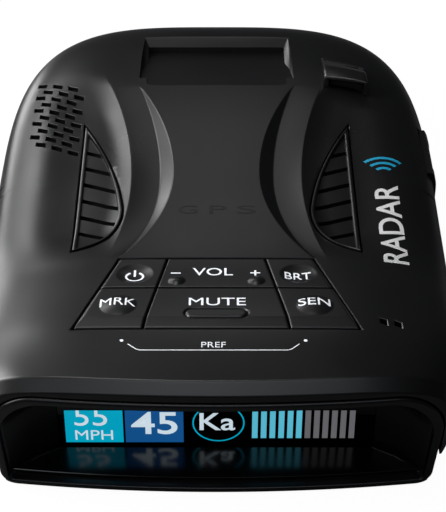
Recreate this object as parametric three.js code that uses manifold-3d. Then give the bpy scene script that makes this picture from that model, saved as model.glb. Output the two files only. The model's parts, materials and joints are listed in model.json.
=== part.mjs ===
// Dashboard radar detector: a two-part plastic case with a hooded display, six sprung keys,
// a magnetic mount pocket, a speaker grille, two louvred vents and the electronics inside.
// Units are millimetres. +Z is up, +Y is the windshield end, and the display faces -Y.
// The origin is on the surface that the case rests on, under the widest cross-section.
import * as THREE from "three";
import { mergeVertices } from "three/addons/utils/BufferGeometryUtils.js";
import Module from "manifold-3d";

const wasm = await Module();
wasm.setup();

// ---------------------------------------------------------------- driving dimensions
const HALF_WIDTH = 44.2; // at the widest line of the case
const REAR_Y = 66.2; // windshield end
const FRONT_Y = -64.6; // brow over the display, on the centre line
const FRONT_SEMI = 72; // semi-axis of the front half's outline, cut off at the brow
const FRONT_POWER = 6; // squareness of the front half's outline
const REAR_POWER = 3.5; // squareness of the rear half's outline
const CORNER_PULL = 1 - 2 ** (-1 / REAR_POWER); // how far a corner of that outline is pulled in
const FRONT_BOW = 2.4; // how far the front face falls back at BOW_AT
const BOW_AT = 38;
const WIDEST_Z = 10; // height of the widest line
const SEAM_Z = 8; // joint between the upper and the lower case
const WALL = 2.2; // wall of both shells
const GAP = 0.35; // clearance between two pieces

const CREASE_Y = -62.3; // crease between the top deck and the brow
const BROW_DROP = 1.7; // fall of the brow's chamfer
const WAIST_Y = 1; // narrowest place of the raised centre panel
const PANEL_WAIST = 8.5; // half width of the panel there
const BEVEL_WAIST = 2.7; // width of the panel's bevel there
const BEVEL_FALL = 0.62; // depth of the bevel over its width
const PANEL_REAR_Y = 33.4;
const VENT_X = 27; // straight outer edge of each vent
const SLANT = -0.45; // slope in plan of the louvres and of the speaker slots

const KEY_BACK_Y = -26;
const KEY_MID_Y = -36.45;
const KEY_FRONT_Y = -49.05;
const KEY_BACK_HALF = 18.1; // half width of the keypad at its back edge
const KEY_SIDE_SLOPE = 0.309; // how the sides open towards the display
const DIVIDER_BACK = 8.95; // half width of the middle keys at the back edge
const DIVIDER_SLOPE = 0.169;
const KEY_RISE = 0.8; // how far the keys stand proud at their front
const KEY_BEVEL = 2.9;
const DECK_ANGLE = Math.atan2(3.2, 23); // tilt of the keypad
const DECK_ORIGIN = new THREE.Vector3(0, -37.5, 21.2); // underside of the keys

// ---------------------------------------------------------------- colours of the plain CAD model
const finishes = {
  satinBlack: { color: 0x1b1b1d, roughness: 0.45, metalness: 0 },
  glossBlack: { color: 0x050506, roughness: 0.08, metalness: 0 },
  keyRubber: { color: 0x202124, roughness: 0.5, metalness: 0 },
  screen: { color: 0x0c2d46, roughness: 0.2, metalness: 0 },
  clear: { color: 0x9fb0b8, roughness: 0.05, metalness: 0 },
  board: { color: 0x0f4a2a, roughness: 0.55, metalness: 0 },
  chip: { color: 0x141414, roughness: 0.5, metalness: 0 },
  tin: { color: 0xb9bcc0, roughness: 0.35, metalness: 1 },
  zinc: { color: 0x8d9094, roughness: 0.5, metalness: 1 },
  ceramic: { color: 0xc9b58a, roughness: 0.6, metalness: 0 },
  foam: { color: 0x262626, roughness: 0.95, metalness: 0 },
  steel: { color: 0x777a7e, roughness: 0.3, metalness: 1 },
  label: { color: 0xb8babc, roughness: 0.6, metalness: 0 },
  copper: { color: 0xa8641f, roughness: 0.5, metalness: 0 },
};

// ---------------------------------------------------------------- solids
const clamp = (value, low, high) => Math.min(high, Math.max(low, value));
const mix = (a, b, t) => a + (b - a) * t;
const smooth = (a, b, value) => {
  const t = clamp((value - a) / (b - a), 0, 1);
  return t * t * (3 - 2 * t);
};

function solidOf(geometry) {
  const bare = geometry.clone();
  for (const name of ["normal", "uv"]) bare.deleteAttribute(name);
  const merged = mergeVertices(bare, 1e-4);
  return new wasm.Manifold(
    new wasm.Mesh({
      numProp: 3,
      vertProperties: new Float32Array(merged.attributes.position.array),
      triVerts: new Uint32Array(merged.index.array),
    }),
  );
}

function geometryOf(solid) {
  const mesh = solid.getMesh();
  const geometry = new THREE.BufferGeometry();
  geometry.setAttribute("position", new THREE.BufferAttribute(mesh.vertProperties, 3));
  geometry.setIndex(new THREE.BufferAttribute(mesh.triVerts, 1));
  return geometry;
}

const box = (x0, x1, y0, y1, z0, z1) =>
  solidOf(
    new THREE.BoxGeometry(x1 - x0, y1 - y0, z1 - z0).translate(
      (x0 + x1) / 2,
      (y0 + y1) / 2,
      (z0 + z1) / 2,
    ),
  );

const rod = (x, y, z0, z1, radius, sides = 16) =>
  solidOf(
    new THREE.CylinderGeometry(radius, radius, z1 - z0, sides)
      .rotateX(Math.PI / 2)
      .translate(x, y, (z0 + z1) / 2),
  );

function prism(points, z0, z1) {
  const shape = new THREE.Shape(points.map(([x, y]) => new THREE.Vector2(x, y)));
  const geometry = new THREE.ExtrudeGeometry(shape, { depth: z1 - z0, bevelEnabled: false });
  return solidOf(geometry.translate(0, 0, z0));
}

// A prism along X of an outline in the YZ plane.
function barOf(points, x0, x1) {
  const shape = new THREE.Shape(points.map(([y, z]) => new THREE.Vector2(y, z)));
  const geometry = new THREE.ExtrudeGeometry(shape, { depth: x1 - x0, bevelEnabled: false });
  const turn = new THREE.Matrix4().set(0, 0, 1, x0, 1, 0, 0, 0, 0, 1, 0, 0, 0, 0, 0, 1);
  return solidOf(geometry.applyMatrix4(turn));
}

// A closed solid through a stack of rings with equal point counts; ends are flat fans.
function loft(rings) {
  const count = rings[0].length;
  const position = rings.flat(2);
  const centre = (ring) => [0, 1, 2].map((k) => ring.reduce((sum, p) => sum + p[k], 0) / count);
  position.push(...centre(rings[0]), ...centre(rings.at(-1)));
  const start = rings.length * count;
  const index = [];
  for (let i = 0; i < count; i++) {
    const j = (i + 1) % count;
    for (let r = 0; r + 1 < rings.length; r++) {
      const [a, b, c, d] = [r * count + i, r * count + j, (r + 1) * count + j, (r + 1) * count + i];
      index.push(a, b, c, a, c, d);
    }
    const last = (rings.length - 1) * count;
    index.push(start, j, i, start + 1, last + i, last + j);
  }
  const geometry = new THREE.BufferGeometry();
  geometry.setAttribute("position", new THREE.Float32BufferAttribute(position, 3));
  geometry.setIndex(index);
  const solid = solidOf(geometry);
  return solid.volume() < 0 ? flipped(geometry) : solid;
}

// The same solid with its faces turned round.
function flipped(geometry) {
  const merged = mergeVertices(geometry, 1e-4);
  const index = merged.index.array;
  for (let i = 0; i < index.length; i += 3) [index[i], index[i + 1]] = [index[i + 1], index[i]];
  return solidOf(merged);
}

// A closed solid between two sheets of points on one grid: upper[row][column] and lower[row][column].
function between(upper, lower) {
  const rows = upper.length;
  const columns = upper[0].length;
  const position = [...upper.flat(2), ...lower.flat(2)];
  const under = rows * columns;
  const index = [];
  for (let r = 0; r + 1 < rows; r++)
    for (let c = 0; c + 1 < columns; c++) {
      const a = r * columns + c;
      const [b, d] = [a + 1, a + columns];
      index.push(a, b, d + 1, a, d + 1, d);
      index.push(under + a, under + d + 1, under + b, under + a, under + d, under + d + 1);
    }
  const rim = [];
  for (let c = 0; c < columns; c++) rim.push(c);
  for (let r = 1; r < rows; r++) rim.push(r * columns + columns - 1);
  for (let c = columns - 2; c >= 0; c--) rim.push((rows - 1) * columns + c);
  for (let r = rows - 2; r > 0; r--) rim.push(r * columns);
  rim.forEach((a, i) => {
    const b = rim[(i + 1) % rim.length];
    index.push(a, under + a, under + b, a, under + b, b);
  });
  const geometry = new THREE.BufferGeometry();
  geometry.setAttribute("position", new THREE.Float32BufferAttribute(position, 3));
  geometry.setIndex(index);
  const solid = solidOf(geometry);
  return solid.volume() < 0 ? flipped(geometry) : solid;
}

const all = (solids) => solids.reduce((sum, solid) => sum.add(solid));

// ---------------------------------------------------------------- the case's form
// Height of the deck along the centre line, before its shoulders fall away.
const deckCurve = [
  [-64, 25.8], [-62.3, 25.9], [-56, 25.9], [-50, 25.6], [-44, 24.9], [-36, 23.7], [-28, 22.5],
  [-20, 21.7], [-10, 21.2], [0, 21], [20, 20.8], [45, 20.6], [66.2, 20],
];

function deckHeight(y) {
  const at = clamp(y, deckCurve[0][0], deckCurve.at(-1)[0]);
  const k = clamp(deckCurve.findIndex((p) => p[0] >= at) - 1, 0, deckCurve.length - 2);
  const slope = (i) => {
    const [a, b] = [deckCurve[Math.max(i - 1, 0)], deckCurve[Math.min(i + 1, deckCurve.length - 1)]];
    return (b[1] - a[1]) / (b[0] - a[0]);
  };
  const [[y0, z0], [y1, z1]] = [deckCurve[k], deckCurve[k + 1]];
  const span = y1 - y0;
  const t = (at - y0) / span;
  const [t2, t3] = [t * t, t * t * t];
  const rise = (t3 - 2 * t2 + t) * slope(k) + (t3 - t2) * slope(k + 1);
  return z0 * (2 * t3 - 3 * t2 + 1) + z1 * (3 * t2 - 2 * t3) + span * rise;
}

const frontHalfWidth = (y) =>
  HALF_WIDTH * (1 - Math.min(1, Math.abs(y) / FRONT_SEMI) ** FRONT_POWER) ** (1 / FRONT_POWER);
const frontBow = (x) => FRONT_BOW * (x / BOW_AT) ** 2;

// 0 on the axis and 1 on the outline, so that the shoulders fall away evenly all round.
function outward(x, y) {
  if (y < 0) return Math.abs(x) / frontHalfWidth(y);
  return ((Math.abs(x) / HALF_WIDTH) ** REAR_POWER + (y / REAR_Y) ** REAR_POWER) ** (1 / REAR_POWER);
}

function domeHeight(x, y) {
  const square = mix(6, 3.5, smooth(-62, -15, y)); // the front is boxier than the rear
  const share = Math.min(outward(x, y), 0.9999);
  return WIDEST_Z + (deckHeight(y) - WIDEST_Z) * (1 - share ** square) ** (1 / square);
}

// The hourglass panel: its edge, the foot of its bevel, and the crest outside the valley.
const spread = (y, rear, front) => (y > WAIST_Y ? rear : front) * (y - WAIST_Y) ** 2;
const keypadSide = (y) => KEY_BACK_HALF + KEY_SIDE_SLOPE * (KEY_BACK_Y - y);
function panelEdge(y) {
  if (y < KEY_BACK_Y) return keypadSide(Math.max(y, KEY_FRONT_Y));
  return PANEL_WAIST + spread(Math.min(y, PANEL_REAR_Y), 0.0077, 0.0131);
}
const bevelWidth = (y) =>
  y < KEY_BACK_Y || y > PANEL_REAR_Y ? 0 : Math.max(0, BEVEL_WAIST - spread(y, 0.0027, 0.0037));
const bevelFoot = (y) => panelEdge(y) + Math.max(bevelWidth(y), 0.3);
const crest = (y) =>
  Math.max(16.8 + (y > -1 ? 0.0048 : 0.0058) * (clamp(y, -26, 38) + 1) ** 2, bevelFoot(y) + 0.6);

function sculpt(x, y) {
  const a = Math.abs(x);
  const depth = BEVEL_FALL * bevelWidth(y);
  const reach = smooth(-27, -14, y) * (1 - smooth(22, 40, y));
  const crestFall = 0.25 * depth;
  if (a <= panelEdge(y)) return 0;
  if (a <= bevelFoot(y)) return -depth * (a - panelEdge(y)) / (bevelFoot(y) - panelEdge(y));
  if (a <= crest(y)) {
    const t = (a - bevelFoot(y)) / (crest(y) - bevelFoot(y));
    return mix(-depth, -crestFall, t ** 1.4);
  }
  const fallen = mix(crestFall, 0.8 * reach, smooth(crest(y), crest(y) + 3.5, a));
  return -fallen * (1 - smooth(27, 37, a));
}

const topHeight = (x, y) => domeHeight(x, y) + sculpt(x, y);

// Grid rows run from the brow to the windshield end, and columns follow the panel's lines.
const frontRows = [-64.6, -62.3, -58, -54, -49.1, -44, -38, -32, -26, -20, -14, -8, -3];
const rearRows = [0, 0.06, 0.14, 0.22, 0.31, 0.41, 0.5, 0.58, 0.66, 0.74, 0.81, 0.87, 0.92, 0.96, 0.985, 1];
const shoulder = [0.3, 0.55, 0.75, 0.88, 0.96];

function columnsAt(y, halfWidth) {
  const inner = [panelEdge(y) / 2, panelEdge(y), bevelFoot(y), crest(y), VENT_X];
  const outer = shoulder.map((t) => mix(VENT_X, halfWidth, t));
  const half = [...inner, ...outer, halfWidth];
  return [...half.map((x) => -x).reverse(), 0, ...half];
}

// The case's outer form down to baseZ, shrunk all round by inset.
function caseForm(inset, baseZ) {
  const upper = [];
  const scaled = ([x, y, z]) => [
    (x * (HALF_WIDTH - inset)) / HALF_WIDTH,
    (y * (REAR_Y - inset)) / REAR_Y,
    z - inset,
  ];
  for (const y of frontRows) {
    const halfWidth = frontHalfWidth(y);
    upper.push(
      columnsAt(y, halfWidth).map((x) => {
        const bow = frontBow(x) * smooth(-40, -60, y);
        const rim = Math.abs(x) > halfWidth - 0.01;
        const drop = y < CREASE_Y - 0.1 ? BROW_DROP : 0;
        const height = rim ? WIDEST_Z : topHeight(x, Math.max(y, CREASE_Y)) - drop;
        return scaled([x, y + bow, Math.max(height, WIDEST_Z)]);
      }),
    );
  }
  for (const v of rearRows) {
    const halfWidth = HALF_WIDTH * (1 - CORNER_PULL * v ** 4);
    upper.push(
      columnsAt(v * REAR_Y, halfWidth).map((x) => {
        const y = REAR_Y * v * (1 - CORNER_PULL * (x / halfWidth) ** 4);
        const rim = Math.abs(x) > halfWidth - 0.01 || v === 1;
        return scaled([x, y, rim ? WIDEST_Z : topHeight(x, y)]);
      }),
    );
  }
  const lower = upper.map((row) => row.map(([x, y]) => [x, y, baseZ]));
  return between(upper, lower);
}

// The plan outline, shrunk by inset, at one height.
function outlineAt(z, inset) {
  const points = [];
  const half = 22;
  for (let i = 0; i <= half; i++) {
    const turn = (Math.PI * i) / half;
    const part = (value, power) => Math.sign(value) * Math.abs(value) ** (2 / power);
    points.push([
      (HALF_WIDTH - inset) * part(Math.cos(turn), REAR_POWER),
      (REAR_Y - inset) * part(Math.sin(turn), REAR_POWER),
      z,
    ]);
  }
  for (const y of [-25, -45, -54, -59, -61.6]) points.push([-(frontHalfWidth(y) - inset), y, z]);
  for (const y of [-61.6, -59, -54, -45, -25]) points.push([frontHalfWidth(y) - inset, y, z]);
  return points;
}

// ---------------------------------------------------------------- the display hood
const arcTo = (cx, cz, radius, from, to, steps) =>
  Array.from({ length: steps + 1 }, (_, i) => {
    const a = mix(from, to, i / steps);
    return [cx + radius * Math.cos(a), cz + radius * Math.sin(a)];
  });

// Closed hood outline in the XZ plane from its right half, foot to crown.
function hoodOutline(foot, crown, footHalf, sideHalf, footRadius, crownRadius) {
  const right = [
    ...arcTo(footHalf - footRadius, foot + footRadius, footRadius, -Math.PI / 2, 0, 3),
    ...arcTo(sideHalf - crownRadius, crown - crownRadius, crownRadius, 0, Math.PI / 2, 5),
    [(sideHalf - crownRadius) / 2, crown],
  ];
  const left = right.map(([x, z]) => [-x, z]).reverse();
  return [[0, foot], [footHalf / 2, foot], ...right, [0, crown], ...left, [-footHalf / 2, foot]];
}

const atY = (outline, y, bowed, lean = 0) =>
  outline.map(([x, z]) => [x, y + (bowed ? frontBow(x) : 0) - lean * (22.6 - z), z]);
const HOOD_OUTER = [1.2, 22.6, 38, 39, 3, 8.5];
const HOOD_MOUTH = [2.4, 20.5, 36.4, 37.2, 0.8, 8];
const BAY_BACK = [3.0, 16.3, 28, 28, 0.5, 0.5];
const BAY_SLEEVE = [1.6, 18.6, 30.5, 30.5, 0.5, 0.5];
const BAY_BACK_Y = -55.8;
const HOOD_FACE_Y = -64.5;
const HOOD_LEAN = 0.033; // the foot of the hood stands forward of its crown

const displayBezel = () =>
  loft([
    atY(hoodOutline(...HOOD_OUTER), HOOD_FACE_Y, true, HOOD_LEAN),
    atY(hoodOutline(...HOOD_OUTER), -60.4, true),
    atY(hoodOutline(...BAY_SLEEVE), BAY_BACK_Y, false),
  ]).subtract(
    loft([
      atY(hoodOutline(...HOOD_MOUTH), -66, true),
      atY(hoodOutline(...HOOD_MOUTH), -63.6, true),
      atY(hoodOutline(...BAY_BACK), BAY_BACK_Y + 1, false),
    ]),
  );

const bayFloorPanel = () => {
  const edge = (x, y, z) => [x, y + frontBow(x), z];
  const ring = (z) => [
    edge(-34.6, -63.2, z), edge(-17, -63.2, z), edge(0, -63.2, z), edge(17, -63.2, z),
    edge(34.6, -63.2, z), [27, -56.4, z + 0.6], [-27, -56.4, z + 0.6],
  ];
  return loft([ring(2.75), ring(3.15)]);
};

// The hood's outline grown by a clearance, as the hole that it needs in the shells.
const hoodHole = () => {
  const grown = HOOD_OUTER.map((size, i) => (i === 0 ? size - GAP : size + GAP));
  return loft([atY(hoodOutline(...grown), -70, true), atY(hoodOutline(...grown), -60, true)]);
};

// ---------------------------------------------------------------- keys
const trapezoid = (y0, y1, left, right) => [[left(y0), y0], [right(y0), y0], [right(y1), y1], [left(y1), y1]];
const divider = (y) => DIVIDER_BACK + DIVIDER_SLOPE * (KEY_BACK_Y - y);
const KEY_ROWS = {
  back: [KEY_MID_Y + GAP / 2, KEY_BACK_Y - GAP],
  front: [KEY_FRONT_Y + GAP, KEY_MID_Y - GAP / 2],
};
const KEY_COLUMNS = {
  left: [(y) => -keypadSide(y) + GAP, (y) => -divider(y) - GAP / 2],
  middle: [(y) => -divider(y) + GAP / 2, (y) => divider(y) - GAP / 2],
  right: [(y) => divider(y) + GAP / 2, (y) => keypadSide(y) - GAP],
};
const keys = {
  power_key: { row: "back", column: "left", dish: [-14.9, -31.4, 3.4, -0.5], feet: [[-14, -31.2]] },
  volume_key: { row: "back", column: "middle", feet: [[-7.2, -31.2], [7.2, -31.2]] },
  brightness_key: { row: "back", column: "right", dish: [14.9, -31.4, 3.4, -0.5], feet: [[14, -31.2]] },
  mark_key: { row: "front", column: "left", dish: [-17.1, -41.9, 3.5, 0.55], feet: [[-17, -42.2]] },
  mute_key: { row: "front", column: "middle", feet: [[0, -42.2]] },
  sensitivity_key: { row: "front", column: "right", dish: [17.1, -41.9, 3.5, 0.55], feet: [[17, -42.2]] },
};
const FOOT_RADIUS = 1.5;
const FOOT_LENGTH = 1.5;

// The keypad's own height: level with the panel at its back, proud at its front.
const keyHeight = (x, y) =>
  domeHeight(x, y) + KEY_RISE * clamp((KEY_BACK_Y - y) / (KEY_BACK_Y - KEY_FRONT_Y - KEY_BEVEL), 0, 1);

// Every key is cut from this block, whose bevel runs round the front and sides.
function keypadBlock() {
  const rows = [-24, -29, -34, -39, -43, KEY_FRONT_Y + KEY_BEVEL, KEY_FRONT_Y];
  const shares = [-1, -0.955, -0.5, 0, 0.5, 0.955, 1];
  const upper = rows.map((y) =>
    shares.map((share) => {
      const x = share * keypadSide(y);
      const edge = Math.abs(share) === 1 || y === KEY_FRONT_Y;
      return [x, y, edge ? domeHeight(x, y) - 0.2 : keyHeight(x, y)];
    }),
  );
  const lower = upper.map((row) => row.map(([x, y]) => [x, y, deckPlane(y)]));
  return between(upper, lower);
}

const deckPlane = (y) => DECK_ORIGIN.z - (y - DECK_ORIGIN.y) * Math.tan(DECK_ANGLE);

// A low round cap, up or down, on the key's top.
function dish([x, y, radius, height]) {
  const ball = (radius ** 2 + height ** 2) / (2 * Math.abs(height));
  const centre = keyHeight(x, y) + (height > 0 ? height - ball : height + ball);
  const steps = 4;
  const reach = Math.asin(Math.min(1, (radius + 0.3) / ball));
  const profile = [new THREE.Vector2(0, 0)];
  for (let i = steps; i >= 0; i--) {
    const a = (reach * i) / steps;
    profile.push(new THREE.Vector2(ball * Math.sin(a), ball * Math.cos(a)));
  }
  const cap = new THREE.LatheGeometry(profile, 16).rotateX(height > 0 ? Math.PI / 2 : -Math.PI / 2);
  const tilt = new THREE.Matrix4().makeRotationX(-DECK_ANGLE);
  const solid = solidOf(cap.applyMatrix4(tilt).translate(x, y, centre));
  return solid.volume() < 0 ? flipped(cap) : solid;
}

// A point on the keypad's underside, moved along the keypad's own normal.
const underKeys = (x, y, along) => {
  const normal = new THREE.Vector3(0, Math.sin(DECK_ANGLE), Math.cos(DECK_ANGLE));
  return new THREE.Vector3(x, y, deckPlane(y)).addScaledVector(normal, along);
};

function tilted(geometry, x, y, along) {
  const at = underKeys(x, y, along);
  return solidOf(geometry.rotateX(-DECK_ANGLE).translate(at.x, at.y, at.z));
}

function key({ row, column, dish: cap, feet }) {
  const [y0, y1] = KEY_ROWS[row];
  let body = keypadBlock().intersect(prism(trapezoid(y0, y1, ...KEY_COLUMNS[column]), 10, 32));
  if (cap) body = cap[3] > 0 ? body.add(capOn(cap)) : body.subtract(capOn(cap));
  for (const [x, y] of feet) {
    const foot = new THREE.CylinderGeometry(FOOT_RADIUS, FOOT_RADIUS, FOOT_LENGTH + 1, 12);
    body = body.add(tilted(foot.rotateX(Math.PI / 2), x, y, (1 - FOOT_LENGTH) / 2));
  }
  return body;
}

const capOn = (cap) =>
  cap[3] > 0
    ? dish(cap).intersect(rod(cap[0], cap[1], deckPlane(cap[1]) + 1, 32, cap[2], 16))
    : dish(cap);

// ---------------------------------------------------------------- openings and bosses
const speakerSlots = () => {
  const slots = [];
  for (let row = 0; row < 10; row++)
    for (let place = 0; place < 3; place++) {
      const x = -37.3 + 3.4 * place + (row % 2) * 1.45;
      const y = 36.4 - 2.45 * row + SLANT * (x + 37.3);
      const [long, thin] = [1.08, 0.55];
      slots.push(
        prism(
          [
            [x - long, y - thin - SLANT * long], [x + long, y - thin + SLANT * long],
            [x + long, y + thin + SLANT * long], [x - long, y + thin - SLANT * long],
          ],
          8.5, 24,
        ),
      );
    }
  return all(slots);
};

const bezier = (p, q, r, steps) =>
  Array.from({ length: steps }, (_, i) => {
    const t = i / steps;
    return [0, 1].map((k) => (1 - t) ** 2 * p[k] + 2 * t * (1 - t) * q[k] + t ** 2 * r[k]);
  });
const ventOutline = (side, grow) => {
  const tip = [VENT_X + grow, 19.6 + 4 * grow];
  const belly = [18.2 - grow, -10.5];
  const heel = [VENT_X + grow, -23.8 - grow];
  return [
    ...bezier(tip, [19.5 - grow, 3.6], belly, 6),
    ...bezier(belly, [18 - grow, -20.5 - grow], heel, 5),
    heel,
  ].map(([x, y]) => [side * x, y]);
};

const POCKET = { half: 14.9, rimHalf: 16.5, backY: 51.8, rimY: 54.7, frontY: 34, floorZ: 16.3 };
const MAGNETS = { left_mount_magnet: [-9, 44], right_mount_magnet: [9, 44] };
const pocketBlock = () =>
  Object.values(MAGNETS).reduce(
    (block, [x, y]) => block.subtract(rod(x, y, 12, 15.95, 4.75, 20)),
    box(-18, 18, 32, 57, 13.6, 19),
  );
const pocketCut = () => {
  const floorFront = topHeight(0, POCKET.frontY) - 0.15;
  const rise = (floorFront - POCKET.floorZ) / (POCKET.backY - POCKET.frontY);
  const reach = 1.5; // the ramp runs on until it leaves the deck
  const well = barOf(
    [
      [POCKET.backY, POCKET.floorZ], [POCKET.backY, 26],
      [POCKET.frontY - reach, 26], [POCKET.frontY - reach, floorFront + reach * rise],
    ],
    -POCKET.half, POCKET.half,
  );
  const aboveFloor = barOf(
    [
      [POCKET.rimY + 1, POCKET.floorZ], [POCKET.rimY + 1, 26],
      [POCKET.frontY, 26], [POCKET.frontY, floorFront], [POCKET.backY, POCKET.floorZ],
    ],
    -POCKET.rimHalf - 1, POCKET.rimHalf + 1,
  );
  const rim = (z, half, back) => [
    [-half, POCKET.frontY + 2, z], [half, POCKET.frontY + 2, z], [half, back, z], [-half, back, z],
  ];
  return well.add(
    loft([
      rim(17.7, POCKET.half, POCKET.backY),
      rim(18.5, POCKET.rimHalf - 0.6, POCKET.rimY),
      rim(20.3, POCKET.rimHalf, POCKET.rimY),
      rim(24, POCKET.rimHalf, POCKET.rimY),
    ]).intersect(aboveFloor),
  );
};

const SCREWS = [[-34, -40], [34, -40], [-31, 48.5], [31, 48.5]];
const screwBosses = () =>
  all(SCREWS.map(([x, y]) => rod(x, y, SEAM_Z + GAP, topHeight(x, y) - 1.2, 3.2, 12)));
const screwHoles = () => all(SCREWS.map(([x, y]) => rod(x, y, 6, 14.4, 1.55, 12)));

// Each socket: place, half size of its mouth, and half size of the frame round it.
const PORTS = {
  power: { side: 1, y: 15.7, z: 12.2, mouth: [4.9, 3], frame: [7.4, 3.6], depth: 11.5, wall: 0.5 },
  data: { side: -1, y: -1.55, z: 12.4, mouth: [4.1, 1.6], frame: [5.35, 2.8], depth: 6.5, wall: 0.5 },
};
const WINDOW = { half: 23, low: 4.7, high: 13.4 };
const LIGHT_SLOTS = [[29.2, -46.4], [31.7, -47]];

function upperCase() {
  const cuts = [
    caseForm(WALL, SEAM_Z - 1).subtract(pocketBlock()).subtract(screwBosses()),
    hoodHole(),
    screwHoles(),
    prism(trapezoid(KEY_FRONT_Y, KEY_BACK_Y, (y) => -keypadSide(y), keypadSide), 10, 32),
    prism(ventOutline(1, GAP), 10, 30),
    prism(ventOutline(-1, GAP), 10, 30),
    speakerSlots(),
    pocketCut(),
    ...LIGHT_SLOTS.map(([x, y]) =>
      prism([[x - 0.8, y - 1], [x + 0.8, y - 1.4], [x + 0.8, y + 1], [x - 0.8, y + 1.4]], 18, 30),
    ),
    ...Object.values(PORTS).map((port) => portBlock(port, port.frame, 30, 50, GAP)),
    box(-WINDOW.half - GAP, WINDOW.half + GAP, 60, 70, 0, WINDOW.high + GAP),
    sensorWell(0),
  ];
  return cuts.reduce((body, cut) => body.subtract(cut), caseForm(0, SEAM_Z));
}

function lowerCase() {
  const outer = loft([outlineAt(0, 5), outlineAt(0.8, 3.5), outlineAt(3, 1.9), outlineAt(SEAM_Z - 0.3, 0.7)]);
  const inner = loft([outlineAt(2, 6), outlineAt(3.4, 4.2), outlineAt(SEAM_Z + 1, 2.9)]);
  const posts = all(SCREWS.map(([x, y]) => rod(x, y, 1, SEAM_Z - 0.3, 3.8, 12)));
  const holes = all(SCREWS.map(([x, y]) => rod(x, y, -1, 9, 1.6, 12).add(rod(x, y, -1, 1.7, 2.9, 16))));
  return outer
    .subtract(inner.subtract(posts))
    .subtract(holes)
    .subtract(box(-50, 50, -70, -54.6, 0.85, 20))
    .subtract(box(-WINDOW.half - GAP, WINDOW.half + GAP, 60, 70, WINDOW.low - GAP, 20))
    .subtract(box(-20, 20, -18, 12, -1, 0.5));
}

// ---------------------------------------------------------------- outer fittings
function ventLouvre(side) {
  const rows = [-26, -20, -14, -8, -2, 4, 10, 16, 23];
  const columns = [16, 19, 22, 25, 28.5].map((x) => side * x);
  const sheet = (lift) => rows.map((y) => columns.map((x) => [x, y, topHeight(x, y) + lift]));
  const outline = prism(ventOutline(side, 0), 8, 32);
  const well = prism(ventOutline(side, -0.8), 8, 32).intersect(between(sheet(3), sheet(-0.3)));
  const grooves = [9.6, 4.3, -1, -6.3, -11.6, -16.9].map((y) => {
    const line = (x) => y + (26.3 - x) * SLANT;
    const corner = (x, half) => [side * x, line(x) + half];
    return prism([corner(28, -0.62), corner(17, -0.62), corner(17, 0.62), corner(28, 0.62)], 8, 32);
  });
  const cut = all(grooves)
    .intersect(prism(ventOutline(side, -0.8), 8, 32))
    .intersect(between(sheet(3), sheet(-1.4)));
  return outline.intersect(between(sheet(0.35), sheet(-2.4))).subtract(well).subtract(cut);
}

const SENSOR = { left: 22.8, right: 31.9, faceY: [32.9, 30.6], tailY: [44.3, 41.2], top: 22.9 };
const sensorWell = (inset) =>
  prism(
    [
      [24 + inset, 34.6 + inset], [30.7 - inset, 33.2 + inset],
      [30.7 - inset, 38.6 - inset], [24 + inset, 40 - inset],
    ],
    8, 32,
  );
// A shade over the rear-facing detector, with a hollow spigot down through the deck.
function rearSensorHood() {
  const { left, right, faceY, tailY, top } = SENSOR;
  const row = (share, left_, middle, right_) => {
    const at = [mix(faceY[0], tailY[0], share), mix(faceY[1], tailY[1], share)];
    return [[left, at[0], left_], [(left + right) / 2, mix(...at, 0.5), middle], [right, at[1], right_]];
  };
  const foot = (x, y) => topHeight(x, y) + GAP;
  const tail = 0.35;
  const upper = [
    row(0, top - 0.1, top + 0.25, top - 0.3),
    row(0.35, top - 0.5, top - 0.1, top - 0.8),
    row(1, foot(left, tailY[0]) + tail, foot(27.3, 42.7) + tail, foot(right, tailY[1]) + tail),
  ];
  const lower = upper.map((points) => points.map(([x, y]) => [x, y, foot(x, y)]));
  const mouth = prism(
    [[left + 0.9, 28], [right - 0.9, 28], [right - 0.9, faceY[1] + 1.3], [left + 0.9, faceY[0] + 1.3]],
    8, top - 0.7,
  );
  const spigot = sensorWell(GAP).intersect(box(20, 35, 30, 42, 16.6, 21.4));
  return between(upper, lower)
    .add(spigot)
    .subtract(mouth)
    .subtract(sensorWell(1).intersect(box(20, 35, 30, 42, 10, 21.2)))
    .subtract(box(25.6, 29.4, 30, 36, 18.6, 21.2));
}
function rearSensorLens() {
  const { left, right, faceY, top } = SENSOR;
  const face = (inset, back) => [
    [left + inset, faceY[0] + back], [right - inset, faceY[1] + back],
    [right - inset, faceY[1] + back + 0.75], [left + inset, faceY[0] + back + 0.75],
  ];
  return prism(face(1.25, 0.15), 20.6, top - 1.05);
}

function windshieldWindow() {
  const ring = (inset) => loft([outlineAt(WINDOW.low, inset), outlineAt(WINDOW.high, inset)]);
  return ring(1)
    .subtract(loft([outlineAt(0, 2), outlineAt(20, 2)]))
    .intersect(box(-WINDOW.half, WINDOW.half, 58, 70, 0, 20));
}

// A block on the port's own side, from the plane at a to the plane at b.
function portBlock({ side, y, z }, [halfLong, halfTall], a, b, grow = 0) {
  const [x0, x1] = [Math.min(side * a, side * b), Math.max(side * a, side * b)];
  return box(x0, x1, y - halfLong - grow, y + halfLong + grow, z - halfTall - grow, z + halfTall + grow);
}

// A frame round a socket, standing a little out of the case's side.
const portSurround = (port) =>
  caseForm(-0.6, SEAM_Z)
    .intersect(portBlock(port, port.frame, 42.3, 50))
    .subtract(portBlock(port, port.mouth, 30, 50));

// A socket: a box with a blind mouth facing out of the side.
const socket = (port) =>
  portBlock(port, port.mouth, 42 - port.depth, 42, port.wall).subtract(
    portBlock(port, port.mouth, 43.2 - port.depth, 45),
  );

const caseScrew = ([x, y]) =>
  rod(x, y, 0.3, 1.5, 2.5, 16)
    .add(rod(x, y, 1.2, 13.6, 1.2, 12))
    .subtract(box(x - 1.7, x + 1.7, y - 0.3, y + 0.3, 0, 0.9))
    .subtract(box(x - 0.3, x + 0.3, y - 1.7, y + 1.7, 0, 0.9));

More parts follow.
